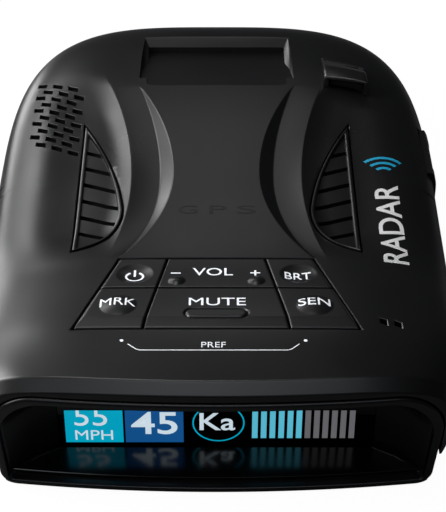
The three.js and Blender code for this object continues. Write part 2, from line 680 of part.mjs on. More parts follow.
const boardScrew = (x, y) =>
  rod(x, y, 2.3, 6, 1.3, 12)
    .add(rod(x, y, BOARD_TOP + GAP, BOARD_TOP + 1.6, 2.3, 16))
    .subtract(box(x - 1.4, x + 1.4, y - 0.3, y + 0.3, BOARD_TOP + 1, 12));

// ---------------------------------------------------------------- electronics
const BOARD_Z = 3.6;
const BOARD_TOP = BOARD_Z + 1.6;
const chip = (x, y, long, wide, tall) =>
  box(x - long / 2, x + long / 2, y - wide / 2, y + wide / 2, BOARD_TOP + GAP, BOARD_TOP + GAP + tall);

const mainBoard = () =>
  prism(
    [[-28, -46], [28, -46], [29, -45], [29, 42], [27, 44], [-27, 44], [-29, 42], [-29, -45]],
    BOARD_Z, BOARD_TOP,
  ).subtract(rod(-25, -41, 0, 9, 1.7, 12)).subtract(rod(25, -41, 0, 9, 1.7, 12));

function hornAntenna() {
  const section = (y, left, right, low, high) => [
    [left, y, low], [right, y, low], [right, y, high], [left, y, high],
  ];
  const outside = loft([
    section(33, -14, 0, 5.7, 12.6),
    section(40, -14, 0, 5.7, 12.6),
    section(61.4, -21, 8, 5.7, 12.9),
  ]);
  const inside = loft([section(41, -12.6, -1.4, 6.9, 11.4), section(62.5, -19.8, 6.8, 6.7, 11.9)]);
  return outside.subtract(inside);
}

const SPEAKER_AT = [-31, 24.8];
const speaker = () =>
  rod(...SPEAKER_AT, 9.4, 11.4, 4.6, 20)
    .add(rod(...SPEAKER_AT, 11.1, 12.9, 7.4, 24))
    .subtract(
      solidOf(
        new THREE.CylinderGeometry(6.6, 3.6, 1.4, 24)
          .rotateX(Math.PI / 2)
          .translate(...SPEAKER_AT, 12.5),
      ),
    );
const speakerGasket = () =>
  rod(...SPEAKER_AT, 13.2, 18, 7.4, 24)
    .subtract(rod(...SPEAKER_AT, 12, 20, 6.2, 24))
    .intersect(caseForm(WALL + GAP, SEAM_Z));

function keySwitch(x, y) {
  const body = tilted(new THREE.BoxGeometry(4.4, 3.4, 1.2), x, y, -3.2);
  const button = new THREE.CylinderGeometry(0.9, 0.9, 0.8, 10).rotateX(Math.PI / 2);
  return body.add(tilted(button, x, y, -2.5));
}
const keyMembrane = () =>
  Object.values(keys)
    .flatMap((spec) => spec.feet)
    .reduce((sheet, [x, y]) => {
      const hole = new THREE.CylinderGeometry(FOOT_RADIUS + 0.4, FOOT_RADIUS + 0.4, 2, 12);
      return sheet.subtract(tilted(hole.rotateX(Math.PI / 2), x, y, -1.2));
    }, tilted(new THREE.BoxGeometry(44, 21.6, 0.6), 0, DECK_ORIGIN.y, -1.2));
const keyBoard = () => tilted(new THREE.BoxGeometry(44, 22.4, 1.2), 0, DECK_ORIGIN.y, -4.7);

const flexCable = () =>
  barOf(
    [
      [-50.3, 5.6], [-49.9, 5.6], [-49.9, 7.1], [-43, 7.1],
      [-43, 5.6], [-42.6, 5.6], [-42.6, 7.5], [-50.3, 7.5],
    ],
    -7, 7,
  );

// ---------------------------------------------------------------- the assembly
const group = new THREE.Group();
function add(name, solid, finish) {
  const mesh = new THREE.Mesh(geometryOf(solid), new THREE.MeshStandardMaterial(finishes[finish]));
  mesh.name = name;
  group.add(mesh);
}

add("upper_case", upperCase(), "satinBlack");
add("lower_case", lowerCase(), "satinBlack");
add("display_bezel", displayBezel(), "satinBlack");
add("bay_floor_panel", bayFloorPanel(), "glossBlack");
add("display_lens", box(-28.8, 28.8, -55.3, -54.4, 2.6, 16.9), "clear");
add(
  "display_gasket",
  box(-29.6, 29.6, -54, -53.3, 2.4, 17.6).subtract(box(-28, 28, -55, -52, 3.2, 16.2)),
  "foam",
);
add("display_panel", box(-29.6, 29.6, -52.9, -51.1, 2.4, 17.6), "screen");
add("display_board", box(-29, 29, -50.7, -49.5, 8.2, 16.6), "board");
add("left_vent_louvre", ventLouvre(-1), "satinBlack");
add("right_vent_louvre", ventLouvre(1), "satinBlack");
add("rear_sensor_hood", rearSensorHood(), "satinBlack");
add("rear_sensor_lens", rearSensorLens(), "glossBlack");
add("rear_sensor_diode", box(25.6, 29.1, 35.9, 37.2, 17.4, 20.6), "chip");
for (const [name, spec] of Object.entries(keys)) add(name, key(spec), "keyRubber");
for (const [name, spec] of Object.entries(keys))
  spec.feet.forEach(([x, y], i) => {
    const tail = spec.feet.length > 1 ? ["_down", "_up"][i] : "";
    add(name.replace("_key", "_switch") + tail, keySwitch(x, y), "chip");
  });
add("key_membrane", keyMembrane(), "keyRubber");
add("key_board", keyBoard(), "board");
add("main_board", mainBoard(), "board");
add("rf_shield_can", box(-26, -4, -2, 24, BOARD_TOP + GAP, 9.2), "tin");
add("processor_chip", chip(9, -14, 14, 14, 1.6), "chip");
add("wireless_module", chip(-17, -22, 14, 10, 2.2), "tin");
add("voice_amplifier_chip", chip(-20, 31, 6, 6, 1.4), "chip");
add("power_coil", rod(20, 6, BOARD_TOP + GAP, 10, 4.4, 16), "chip");
add("horn_antenna", hornAntenna(), "zinc");
add("gps_board", box(-12, 12, -12, 12, 11.4, 12.4), "board");
add("gps_patch_antenna", box(-9, 9, -9, 9, 12.75, 16.4), "ceramic");
add("speaker", speaker(), "chip");
add("speaker_gasket", speakerGasket(), "foam");
add("laser_sensor", box(11, 22, 47, 57.5, 5.7, 12.4), "chip");
add(
  "laser_sensor_lens",
  solidOf(new THREE.CylinderGeometry(3, 4, 2.4, 20).translate(16.5, 59.2, 9)),
  "clear",
);
add("windshield_window", windshieldWindow(), "glossBlack");
for (const [name, port] of Object.entries(PORTS)) {
  add(`${name}_socket_surround`, portSurround(port), "satinBlack");
  add(`${name}_socket`, socket(port), name === "power" ? "chip" : "tin");
}
add("light_sensor", box(28.6, 32.6, -48.2, -45.2, 17, 19.2), "chip");
for (const [name, [x, y]] of Object.entries(MAGNETS)) add(name, rod(x, y, 13.95, 15.6, 4.4, 20), "steel");
add("display_flex_cable", flexCable(), "copper");
add("left_board_screw", boardScrew(-25, -41), "steel");
add("right_board_screw", boardScrew(25, -41), "steel");
SCREWS.forEach((place, i) => {
  const name = ["front_left", "front_right", "rear_left", "rear_right"][i];
  add(`${name}_case_screw`, caseScrew(place), "steel");
});
add("rating_label", box(-19.5, 19.5, -17.5, 11.5, 0.1, 0.2), "label");

export default group;
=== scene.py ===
"""Looks of a dashboard radar detector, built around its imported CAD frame.

Lengths in this file are millimetres until a mesh or a light is made, and +Z is up.
"""

import json
import math

import bmesh
import bpy
import numpy as np
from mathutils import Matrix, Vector


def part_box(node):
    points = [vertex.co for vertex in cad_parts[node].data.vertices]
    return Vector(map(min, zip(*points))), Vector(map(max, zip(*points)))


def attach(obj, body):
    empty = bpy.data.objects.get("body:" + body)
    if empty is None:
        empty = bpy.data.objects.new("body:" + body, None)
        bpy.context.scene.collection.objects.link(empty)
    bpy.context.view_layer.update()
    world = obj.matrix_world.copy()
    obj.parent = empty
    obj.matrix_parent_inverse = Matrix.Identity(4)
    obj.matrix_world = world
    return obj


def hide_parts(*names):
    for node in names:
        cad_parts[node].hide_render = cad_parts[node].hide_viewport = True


bl_info = {
    "name": "Radar Detector",
    "version": (1, 0, 0),
    "blender": (4, 5, 0),
    "location": "3D View > Sidebar > Radar",
    "description": "Builds the visible pieces of a dashboard radar detector",
    "category": "Add Mesh",
}

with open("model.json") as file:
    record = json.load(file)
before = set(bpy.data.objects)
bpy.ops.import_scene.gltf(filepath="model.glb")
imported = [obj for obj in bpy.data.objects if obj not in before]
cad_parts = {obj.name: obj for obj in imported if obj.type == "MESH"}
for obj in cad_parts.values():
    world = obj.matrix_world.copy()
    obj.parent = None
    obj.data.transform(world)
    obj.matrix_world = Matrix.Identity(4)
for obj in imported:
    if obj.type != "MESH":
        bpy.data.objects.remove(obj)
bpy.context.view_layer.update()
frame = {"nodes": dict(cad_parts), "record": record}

MM = 0.001
BODY = "case"


def node_box(name):
    """Lowest and highest corner of a CAD node, in millimetres."""
    low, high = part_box(name)
    return np.array(low) / MM, np.array(high) / MM


# ------------------------------------------------------------------ driving dimensions
UPPER_LOW, UPPER_HIGH = node_box("upper_case")
HALF_WIDTH = float(UPPER_HIGH[0])
SEAM_Z = float(UPPER_LOW[2])
LOWER_TOP = float(node_box("lower_case")[1][2])
REAR_Y = 66.2
FRONT_Y = float(UPPER_LOW[1])
FRONT_SEMI, FRONT_POWER, REAR_POWER = 72.0, 6.0, 3.5
CORNER_PULL = 1 - 2 ** (-1 / REAR_POWER)
FRONT_BOW, BOW_AT = 2.4, 38.0
REAR_PULL = 0.0046
WIDEST_Z = 10.0
WALL = 2.2
GAP = 0.35
CREASE_Y, BROW_DROP = -62.3, 1.7
WAIST_Y, PANEL_WAIST, PANEL_REAR_Y = 1.0, 8.5, 33.4
BEVEL_WAIST, BEVEL_FALL = 2.7, 0.62
CREST_RUN, CREST_FALL = 4.6, 1.15
VENT_X, SLANT = 27.0, -0.45
KEY_BACK_Y, KEY_MID_Y, KEY_FRONT_Y = -26.0, -36.45, -49.05
KEY_BACK_HALF, KEY_SIDE_SLOPE = 18.1, 0.309
DIVIDER_BACK, DIVIDER_SLOPE = 8.95, 0.169
KEY_RISE, KEY_BEVEL = 0.62, 2.9
DECK_ANGLE = math.atan2(3.2, 23)
DECK_Y, DECK_Z = -37.5, 21.2
DECK_CURVE = np.array(
    [
        (-64, 25.8), (-62.3, 25.9), (-56, 25.9), (-50, 25.6), (-44, 24.9), (-36, 23.7),
        (-28, 22.5), (-20, 21.7), (-10, 21.2), (0, 21), (20, 20.8), (45, 20.6), (66.2, 20),
    ]
)


# ------------------------------------------------------------------ the case's form
def mix(a, b, t):
    return a + (b - a) * t


def smooth(low, high, value):
    t = np.clip((value - low) / (high - low), 0, 1)
    return t * t * (3 - 2 * t)


def deck_height(y):
    """Height of the deck along the centre line."""
    ys, zs = DECK_CURVE.T
    at = np.clip(y, ys[0], ys[-1])
    k = np.clip(np.searchsorted(ys, at) - 1, 0, len(ys) - 2)
    before, after = np.maximum(np.arange(len(ys)) - 1, 0), np.minimum(np.arange(len(ys)) + 1, len(ys) - 1)
    slope = (zs[after] - zs[before]) / (ys[after] - ys[before])
    span = ys[k + 1] - ys[k]
    t = (at - ys[k]) / span
    t2, t3 = t * t, t * t * t
    rise = (t3 - 2 * t2 + t) * slope[k] + (t3 - t2) * slope[k + 1]
    return zs[k] * (2 * t3 - 3 * t2 + 1) + zs[k + 1] * (3 * t2 - 2 * t3) + span * rise


def front_half_width(y):
    share = np.minimum(1, np.abs(y) / FRONT_SEMI)
    return HALF_WIDTH * (1 - share**FRONT_POWER) ** (1 / FRONT_POWER)


def front_bow(x):
    return FRONT_BOW * (x / BOW_AT) ** 2


def outward(x, y):
    """0 on the axis and 1 on the outline."""
    across = (np.abs(x) / HALF_WIDTH) ** REAR_POWER
    along = (np.maximum(y, 0) / REAR_Y) ** REAR_POWER
    rear = (across + along) ** (1 / REAR_POWER)
    return np.where(y < 0, np.abs(x) / front_half_width(np.minimum(y, 0)), rear)


def dome_power(y):
    return mix(6, 3.5, smooth(-62, -15, y))


def dome_height(x, y):
    power = dome_power(y)
    share = np.clip(outward(x, y), 0, 1)
    return WIDEST_Z + (deck_height(y) - WIDEST_Z) * (1 - share**power) ** (1 / power)


def spread(y, rear, front):
    return np.where(y > WAIST_Y, rear, front) * (y - WAIST_Y) ** 2


def keypad_side(y):
    return KEY_BACK_HALF + KEY_SIDE_SLOPE * (KEY_BACK_Y - y)


def divider(y):
    return DIVIDER_BACK + DIVIDER_SLOPE * (KEY_BACK_Y - y)


def panel_edge(y):
    """Half width of the raised hourglass panel, which widens into the keypad."""
    panel = PANEL_WAIST + spread(np.minimum(y, PANEL_REAR_Y), 0.0077, 0.0131)
    return np.where(y < KEY_BACK_Y, keypad_side(np.maximum(y, KEY_FRONT_Y)), panel)


def bevel_width(y):
    width = np.maximum(0, BEVEL_WAIST - spread(y, 0.0027, 0.0037))
    return np.where((y < KEY_BACK_Y) | (y > PANEL_REAR_Y), 0, width)


def bevel_foot(y):
    return panel_edge(y) + np.maximum(bevel_width(y), 0.3)


def crest(y):
    run = 16.8 + np.where(y > -1, 0.0048, 0.0058) * (np.clip(y, -26, 38) + 1) ** 2
    return np.maximum(run, bevel_foot(y) + 0.6)


def sculpt(x, y):
    """How far the deck lies below the plain dome."""
    a = np.abs(x)
    edge, foot, ridge = panel_edge(y), bevel_foot(y), crest(y)
    depth = BEVEL_FALL * bevel_width(y)
    reach = smooth(-27, -14, y) * (1 - smooth(22, 40, y))
    bevel = -depth * np.clip((a - edge) / (foot - edge), 0, 1)
    valley = mix(-depth, -0.25 * depth, np.clip((a - foot) / (ridge - foot), 0, 1) ** 1.4)
    run = np.clip((a - ridge) / CREST_RUN, 0, 1)
    fallen = mix(0.25 * depth, CREST_FALL * reach, 1 - (1 - run) ** 2) * (1 - smooth(27, 37, a))
    return np.where(a <= foot, bevel, np.where(a <= ridge, valley, -fallen))


def top_height(x, y):
    x, y = np.broadcast_arrays(np.asarray(x, float), np.asarray(y, float))
    return dome_height(x, y) + sculpt(x, y)


def deck_plane(y):
    """Underside of the keys."""
    return DECK_Z - (y - DECK_Y) * math.tan(DECK_ANGLE)


# ------------------------------------------------------------------ mesh building
def new_object(name, points, faces):
    mesh = bpy.data.meshes.new(name)
    mesh.from_pydata((np.asarray(points, float).reshape(-1, 3) * MM).tolist(), [], faces)
    work = bmesh.new()
    work.from_mesh(mesh)
    bmesh.ops.remove_doubles(work, verts=work.verts, dist=1e-7)
    bmesh.ops.recalc_face_normals(work, faces=work.faces)
    work.to_mesh(mesh)
    work.free()
    obj = bpy.data.objects.new(name, mesh)
    bpy.context.scene.collection.objects.link(obj)
    return obj


def shell(name, upper, lower):
    """A closed solid between two sheets of points on one grid."""
    rows, columns = upper.shape[:2]
    under = rows * columns
    at = np.arange(under).reshape(rows, columns)
    quads = np.stack([at[:-1, :-1], at[:-1, 1:], at[1:, 1:], at[1:, :-1]], -1).reshape(-1, 4)
    rim = [*at[0], *at[1:, -1], *at[-1, -2::-1], *at[-2:0:-1, 0]]
    walls = [[int(a), int(a + under), int(b + under), int(b)] for a, b in zip(rim, rim[1:] + rim[:1])]
    faces = quads.tolist() + (quads[:, ::-1] + under).tolist() + walls
    return new_object(name, np.concatenate([upper.reshape(-1, 3), lower.reshape(-1, 3)]), faces)


def loft(name, rings, looped=False):
    """A closed solid through rings of equal point counts, capped or joined end to end."""
    rings = np.asarray(rings, float)
    steps, count = rings.shape[:2]
    at = np.arange(steps * count).reshape(steps, count)
    faces = []
    for r in range(steps if looped else steps - 1):
        a, b = at[r], at[(r + 1) % steps]
        faces += np.stack([a, np.roll(a, -1), np.roll(b, -1), b], -1).tolist()
    if not looped:
        faces += [at[0].tolist(), at[-1][::-1].tolist()]
    return new_object(name, rings, faces)


def block(name, low, high, bevel=0.0):
    x0, y0, z0 = low
    x1, y1, z1 = high
    b = bevel
    levels = [(z0, b), (z0 + b, 0), (z1 - b, 0), (z1, b)] if b else [(z0, 0), (z1, 0)]
    rings = []
    for z, inset in levels:
        l, r, f, k = x0 + inset, x1 - inset, y0 + inset, y1 - inset
        if b:
            rings.append(
                [
                    (l + b, f, z), (r - b, f, z), (r, f + b, z), (r, k - b, z),
                    (r - b, k, z), (l + b, k, z), (l, k - b, z), (l, f + b, z),
                ]
            )
        else:
            rings.append([(l, f, z), (r, f, z), (r, k, z), (l, k, z)])
    return loft(name, rings)


def turned(name, profile, centre, sides=48):
    """A closed solid of revolution about +Z from (radius, z) pairs, its ends on flat discs."""
    a = np.linspace(0, 2 * math.pi, sides, endpoint=False)
    x, y = centre
    rings = [np.stack([x + r * np.cos(a), y + r * np.sin(a), np.full(sides, z)], -1) for r, z in profile]
    return loft(name, rings)


def prism(name, outline, low, high):
    outline = np.asarray(outline, float)
    level = lambda z: np.column_stack([outline, np.full(len(outline), z)])
    return loft(name, [level(low), level(high)])


def offset(outline, distance):
    """The outline moved outwards by a distance, corner by corner."""
    outline = np.asarray(outline, float)
    after = np.roll(outline, -1, 0) - outline
    area = np.sum(outline[:, 0] * np.roll(outline[:, 1], -1) - np.roll(outline[:, 0], -1) * outline[:, 1])
    normal = np.stack([after[:, 1], -after[:, 0]], -1) * np.sign(area)
    normal /= np.linalg.norm(normal, axis=1, keepdims=True)
    both = normal + np.roll(normal, 1, 0)
    both /= np.maximum(0.5 * np.sum(both * both, axis=1, keepdims=True), 0.3)
    return outline + distance * both


def dense(outline, step):
    """The outline with points added so that none are further apart than step."""
    points = []
    for a, b in zip(outline, np.roll(outline, -1, 0)):
        count = max(1, math.ceil(np.linalg.norm(b - a) / step))
        points += [mix(a, b, i / count) for i in range(count)]
    return np.array(points)


def edge_cutter(name, outline, low, chamfer=0.22, height=top_height, step=0.7):
    """A vertical cutter that leaves a small chamfer where it meets the surface."""
    outline = dense(np.asarray(outline, float), step)
    rings = [np.column_stack([outline, np.full(len(outline), low)])]
    for out, lift in ((0, -chamfer), (chamfer + 0.25, 0.25), (chamfer + 0.25, 4)):
        ring = offset(outline, out)
        rings.append(np.column_stack([ring, height(*outline.T) + lift]))
    return loft(name, rings)


def plain_mesh(obj):
    """Turns an object's modifiers into its mesh and takes them off."""
    depsgraph = bpy.context.evaluated_depsgraph_get()
    mesh = bpy.data.meshes.new_from_object(obj.evaluated_get(depsgraph))
    obj.modifiers.clear()
    old, obj.data = obj.data, mesh
    bpy.data.meshes.remove(old)
    return obj


def boolean(obj, tool, operation="DIFFERENCE"):
    modifier = obj.modifiers.new("boolean", "BOOLEAN")
    modifier.operation, modifier.solver, modifier.object = operation, "MANIFOLD", tool
    plain_mesh(obj)
    bpy.data.objects.remove(tool)
    if not obj.data.polygons:
        raise RuntimeError(f"{obj.name}: nothing is left after a boolean")
    return obj


def piece(obj, material, body=BODY, replaces=(), sharp=40):
    """Finishes a piece: material, shading, body and the CAD nodes that it stands for."""
    obj.data.shade_smooth()
    obj.data.set_sharp_from_angle(angle=math.radians(sharp))
    even = obj.modifiers.new("even shading", "WEIGHTED_NORMAL")
    even.keep_sharp = True
    plain_mesh(obj)
    obj.data.name = obj.name
    obj.data.materials.clear()
    obj.data.materials.append(material)
    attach(obj, body)
    if replaces:
        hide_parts(*replaces)
    return obj


# ------------------------------------------------------------------ geometry nodes
PATTERN = "Staggered pattern"
PATTERN_INPUTS = (
    ("Columns", "NodeSocketInt", 1),
    ("Rows", "NodeSocketInt", 1),
    ("Start", "NodeSocketVector", (0, 0, 0)),
    ("Column Step", "NodeSocketVector", (0.001, 0, 0)),
    ("Row Step", "NodeSocketVector", (0, 0.001, 0)),
    ("Odd Row Shift", "NodeSocketVector", (0, 0, 0)),
    ("Surface", "NodeSocketObject", None),
    ("Material", "NodeSocketMaterial", None),
)


def pattern_tree():
    """Copies the object's own mesh over rows and columns, dropped onto a surface if one is given."""
    if PATTERN in bpy.data.node_groups:
        return bpy.data.node_groups[PATTERN]
    tree = bpy.data.node_groups.new(PATTERN, "GeometryNodeTree")
    tree.interface.new_socket("Geometry", in_out="INPUT", socket_type="NodeSocketGeometry")
    for name, kind, default in PATTERN_INPUTS:
        socket = tree.interface.new_socket(name, in_out="INPUT", socket_type=kind)
        if default is not None:
            socket.default_value = default
    tree.interface.new_socket("Geometry", in_out="OUTPUT", socket_type="NodeSocketGeometry")
    nodes, link = tree.nodes, tree.links.new
    given = nodes.new("NodeGroupInput").outputs

    def math_node(operation, a, b=None):
        node = nodes.new("ShaderNodeMath")
        node.operation = operation
        for socket, value in zip(node.inputs, (a, b)):
            if isinstance(value, bpy.types.NodeSocket):
                link(value, socket)
            elif value is not None:
                socket.default_value = value
        return node.outputs[0]

    def scaled(vector, factor):
        node = nodes.new("ShaderNodeVectorMath")
        node.operation = "SCALE"
        link(vector, node.inputs[0])
        link(factor, node.inputs["Scale"])
        return node.outputs[0]

    def added(a, b):
        node = nodes.new("ShaderNodeVectorMath")
        link(a, node.inputs[0])
        if isinstance(b, bpy.types.NodeSocket):
            link(b, node.inputs[1])
        else:
            node.inputs[1].default_value = b
        return node.outputs[0]

    index = nodes.new("GeometryNodeInputIndex").outputs[0]
    column = math_node("MODULO", index, given["Columns"])
    row = math_node("FLOOR", math_node("DIVIDE", index, given["Columns"]))
    odd = math_node("MODULO", row, 2.0)
    place = added(given["Start"], scaled(given["Column Step"], column))
    place = added(place, scaled(given["Row Step"], row))
    place = added(place, scaled(given["Odd Row Shift"], odd))
    points = nodes.new("GeometryNodePoints")
    link(math_node("MULTIPLY", given["Columns"], given["Rows"]), points.inputs["Count"])
    link(place, points.inputs["Position"])
    surface = nodes.new("GeometryNodeObjectInfo")
    link(given["Surface"], surface.inputs["Object"])
    ray = nodes.new("GeometryNodeRaycast")
    link(surface.outputs["Geometry"], ray.inputs[0])
    above = added(nodes.new("GeometryNodeInputPosition").outputs[0], (0, 0, 0.05))
    link(above, ray.inputs["Source Position"])
    ray.inputs["Ray Direction"].default_value = (0, 0, -1)
    ray.inputs["Ray Length"].default_value = 0.1
    drop = nodes.new("GeometryNodeSetPosition")
    link(points.outputs[0], drop.inputs["Geometry"])
    link(ray.outputs["Is Hit"], drop.inputs["Selection"])
    link(ray.outputs["Hit Position"], drop.inputs["Position"])
    upright = nodes.new("FunctionNodeAlignRotationToVector")
    upright.axis = "Z"
    link(ray.outputs["Hit Normal"], upright.inputs["Vector"])
    copies = nodes.new("GeometryNodeInstanceOnPoints")
    link(drop.outputs[0], copies.inputs["Points"])
    link(upright.outputs[0], copies.inputs["Rotation"])
    link(given["Geometry"], copies.inputs["Instance"])
    real = nodes.new("GeometryNodeRealizeInstances")
    link(copies.outputs[0], real.inputs[0])
    paint = nodes.new("GeometryNodeSetMaterial")
    link(real.outputs[0], paint.inputs["Geometry"])
    link(given["Material"], paint.inputs["Material"])
    link(paint.outputs[0], nodes.new("NodeGroupOutput").inputs[0])
    return tree


def pattern(obj, **values):
    """Runs the pattern tree on an object and keeps the result as its mesh."""
    modifier = obj.modifiers.new(PATTERN, "NODES")
    modifier.node_group = pattern_tree()
    identifiers = {
        item.name: item.identifier
        for item in modifier.node_group.interface.items_tree
        if item.in_out == "INPUT"
    }
    for name, value in values.items():
        if isinstance(value, (tuple, list)):
            value = [v * MM for v in value]
        modifier[identifiers[name.replace("_", " ").title()]] = value
    return plain_mesh(obj)


# ------------------------------------------------------------------ materials
def effect(name, inputs, outputs, build):
    """A shared shader node group."""
    if name in bpy.data.node_groups:
        return bpy.data.node_groups[name]
    group = bpy.data.node_groups.new(name, "ShaderNodeTree")
    for label, kind, default in inputs:
        socket = group.interface.new_socket(label, in_out="INPUT", socket_type=kind)
        if default is not None:
            socket.default_value = default
    for label, kind in outputs:
        group.interface.new_socket(label, in_out="OUTPUT", socket_type=kind)
    given = group.nodes.new("NodeGroupInput").outputs
    result = group.nodes.new("NodeGroupOutput").inputs
    build(group.nodes, group.links.new, given, result)
    return group


def grain_effect():
    def build(nodes, link, given, result):
        fine = nodes.new("ShaderNodeTexNoise")
        fine.inputs["Detail"].default_value = 3
        pits = nodes.new("ShaderNodeTexVoronoi")
        pits.feature = "SMOOTH_F1"
        both = nodes.new("ShaderNodeMath")
        both.operation = "ADD"
        for texture in (fine, pits):
            link(given["Position"], texture.inputs["Vector"])
            link(given["Scale"], texture.inputs["Scale"])
        link(fine.outputs[0], both.inputs[0])
        link(pits.outputs["Distance"], both.inputs[1])
        link(both.outputs[0], result["Height"])

    return effect(
        "Moulded grain",
        (("Position", "NodeSocketVector", None), ("Scale", "NodeSocketFloat", 2500.0)),
        (("Height", "NodeSocketFloat"),),
        build,
    )


def tone_effect():
    """Slow drift of colour and gloss, as handling and moulding leave on a surface."""

    def build(nodes, link, given, result):
        drift = nodes.new("ShaderNodeTexNoise")
        drift.inputs["Detail"].default_value = 4
        link(given["Position"], drift.inputs["Vector"])
        link(given["Scale"], drift.inputs["Scale"])
        blend = nodes.new("ShaderNodeMix")
        blend.data_type = "RGBA"
        link(drift.outputs[0], blend.inputs["Factor"])
        link(given["Dark"], blend.inputs[6])
        link(given["Light"], blend.inputs[7])
        gloss = nodes.new("ShaderNodeMapRange")
        link(drift.outputs[0], gloss.inputs["Value"])
        gloss.inputs["From Min"].default_value = 0.3
        gloss.inputs["From Max"].default_value = 0.7
        link(given["Smoothest"], gloss.inputs["To Min"])
        link(given["Roughest"], gloss.inputs["To Max"])
        link(blend.outputs[2], result["Colour"])
        link(gloss.outputs[0], result["Roughness"])

    return effect(
        "Handled tone",
        (
            ("Position", "NodeSocketVector", None),
            ("Scale", "NodeSocketFloat", 60.0),
            ("Dark", "NodeSocketColor", (0, 0, 0, 1)),
            ("Light", "NodeSocketColor", (1, 1, 1, 1)),
            ("Smoothest", "NodeSocketFloat", 0.3),
            ("Roughest", "NodeSocketFloat", 0.5),
        ),
        (("Colour", "NodeSocketColor"), ("Roughness", "NodeSocketFloat")),
        build,
    )


def material(name, dark, light, smoothest, roughest, drift=60, grain=2500, depth=0.006, **sockets):
    """A procedural material: drifting tone and gloss over a moulded grain."""
    name = "finish_" + name
    if name in bpy.data.materials:
        return bpy.data.materials[name]
    mat = bpy.data.materials.new(name)
    mat.use_nodes = True
    nodes, link = mat.node_tree.nodes, mat.node_tree.links.new
    shader = nodes["Principled BSDF"]
    mapping = nodes.new("ShaderNodeMapping")
    mapping.name = "Place"
    link(nodes.new("ShaderNodeTexCoord").outputs["Object"], mapping.inputs["Vector"])
    tone = nodes.new("ShaderNodeGroup")
    tone.name, tone.node_tree = "Tone", tone_effect()
    rough = nodes.new("ShaderNodeGroup")
    rough.name, rough.node_tree = "Grain", grain_effect()
    for group, scale in ((tone, drift), (rough, grain)):
        link(mapping.outputs[0], group.inputs["Position"])
        group.inputs["Scale"].default_value = scale
    tone.inputs["Dark"].default_value = (*dark, 1)
    tone.inputs["Light"].default_value = (*light, 1)
    tone.inputs["Smoothest"].default_value = smoothest
    tone.inputs["Roughest"].default_value = roughest
    bump = nodes.new("ShaderNodeBump")
    bump.name = "Relief"
    bump.inputs["Strength"].default_value = 0.35
    bump.inputs["Distance"].default_value = depth * MM
    link(rough.outputs[0], bump.inputs["Height"])
    link(tone.outputs["Colour"], shader.inputs["Base Color"])
    link(tone.outputs["Roughness"], shader.inputs["Roughness"])
    link(bump.outputs[0], shader.inputs["Normal"])
    for label, value in sockets.items():
        shader.inputs[label.replace("_", " ").title()].default_value = value
    return mat


def grey(value, blue=0.0):
    return (value, value, value * (1 + blue))


def glowing(name, colour, strength):
    """A lit area of the display, a little uneven like a small backlight."""
    if "finish_" + name in bpy.data.materials:
        return bpy.data.materials["finish_" + name]
    dim = tuple(0.82 * c for c in colour)
    mat = material(
        name, grey(0.01), grey(0.02), 0.25, 0.3, grain=900, depth=0.002, emission_strength=strength
    )
    nodes, link = mat.node_tree.nodes, mat.node_tree.links.new
    tone = nodes.new("ShaderNodeGroup")
    tone.node_tree = tone_effect()
    tone.inputs["Scale"].default_value = 160
    tone.inputs["Dark"].default_value = (*dim, 1)
    tone.inputs["Light"].default_value = (*colour, 1)
    link(nodes["Place"].outputs[0], tone.inputs["Position"])
    link(tone.outputs["Colour"], nodes["Principled BSDF"].inputs["Emission Color"])
    return mat


def circuit_board():
    """Green solder mask with tracks and tinned pads."""
    name = "circuit_board"
    if "finish_" + name in bpy.data.materials:
        return bpy.data.materials["finish_" + name]
    mat = material(name, (0.004, 0.05, 0.018), (0.008, 0.085, 0.03), 0.28, 0.4, drift=90, depth=0.01)
    nodes, link = mat.node_tree.nodes, mat.node_tree.links.new
    tracks = nodes.new("ShaderNodeTexBrick")
    tracks.inputs["Scale"].default_value = 260
    tracks.inputs["Mortar Size"].default_value = 0.035
    tracks.inputs["Color1"].default_value = (0, 0, 0, 1)
    tracks.inputs["Color2"].default_value = (0, 0, 0, 1)
    tracks.inputs["Mortar"].default_value = (1, 1, 1, 1)
    blend = nodes.new("ShaderNodeMix")
    blend.data_type = "RGBA"
    link(nodes["Place"].outputs[0], tracks.inputs["Vector"])
    link(tracks.outputs["Color"], blend.inputs["Factor"])
    link(nodes["Tone"].outputs["Colour"], blend.inputs[6])
    blend.inputs[7].default_value = (0.02, 0.16, 0.05, 1)
    link(blend.outputs[2], nodes["Principled BSDF"].inputs["Base Color"])
    return mat


def printed_label():
    """Silver film with rows of small printed dashes."""
    name = "printed_label"
    if "finish_" + name in bpy.data.materials:
        return bpy.data.materials["finish_" + name]
    mat = material(name, grey(0.42), grey(0.5), 0.3, 0.42, drift=40, depth=0.002)
    nodes, link = mat.node_tree.nodes, mat.node_tree.links.new
    lines = nodes.new("ShaderNodeTexBrick")
    lines.inputs["Scale"].default_value = 210
    lines.inputs["Mortar Size"].default_value = 0.11
    lines.inputs["Brick Width"].default_value = 1.4
    lines.inputs["Color1"].default_value = (1, 1, 1, 1)
    lines.inputs["Color2"].default_value = (0, 0, 0, 1)
    lines.inputs["Mortar"].default_value = (0, 0, 0, 1)
    blend = nodes.new("ShaderNodeMix")
    blend.data_type = "RGBA"
    link(nodes["Place"].outputs[0], lines.inputs["Vector"])
    link(lines.outputs["Color"], blend.inputs["Factor"])
    link(nodes["Tone"].outputs["Colour"], blend.inputs[6])
    blend.inputs[7].default_value = (0.03, 0.03, 0.035, 1)
    link(blend.outputs[2], nodes["Principled BSDF"].inputs["Base Color"])
    return mat


def satin_black():
    tint = bpy.context.scene.radar_case.colour
    light = tuple(1.35 * c for c in tint[:3])
    return material("satin_black", tint[:3], light, 0.27, 0.34, drift=45, grain=3200, depth=0.004)


def key_rubber():
    tint = bpy.context.scene.radar_keys.colour
    light = tuple(1.3 * c for c in tint[:3])
    return material("key_rubber", tint[:3], light, 0.3, 0.37, drift=90, grain=3600, depth=0.004)


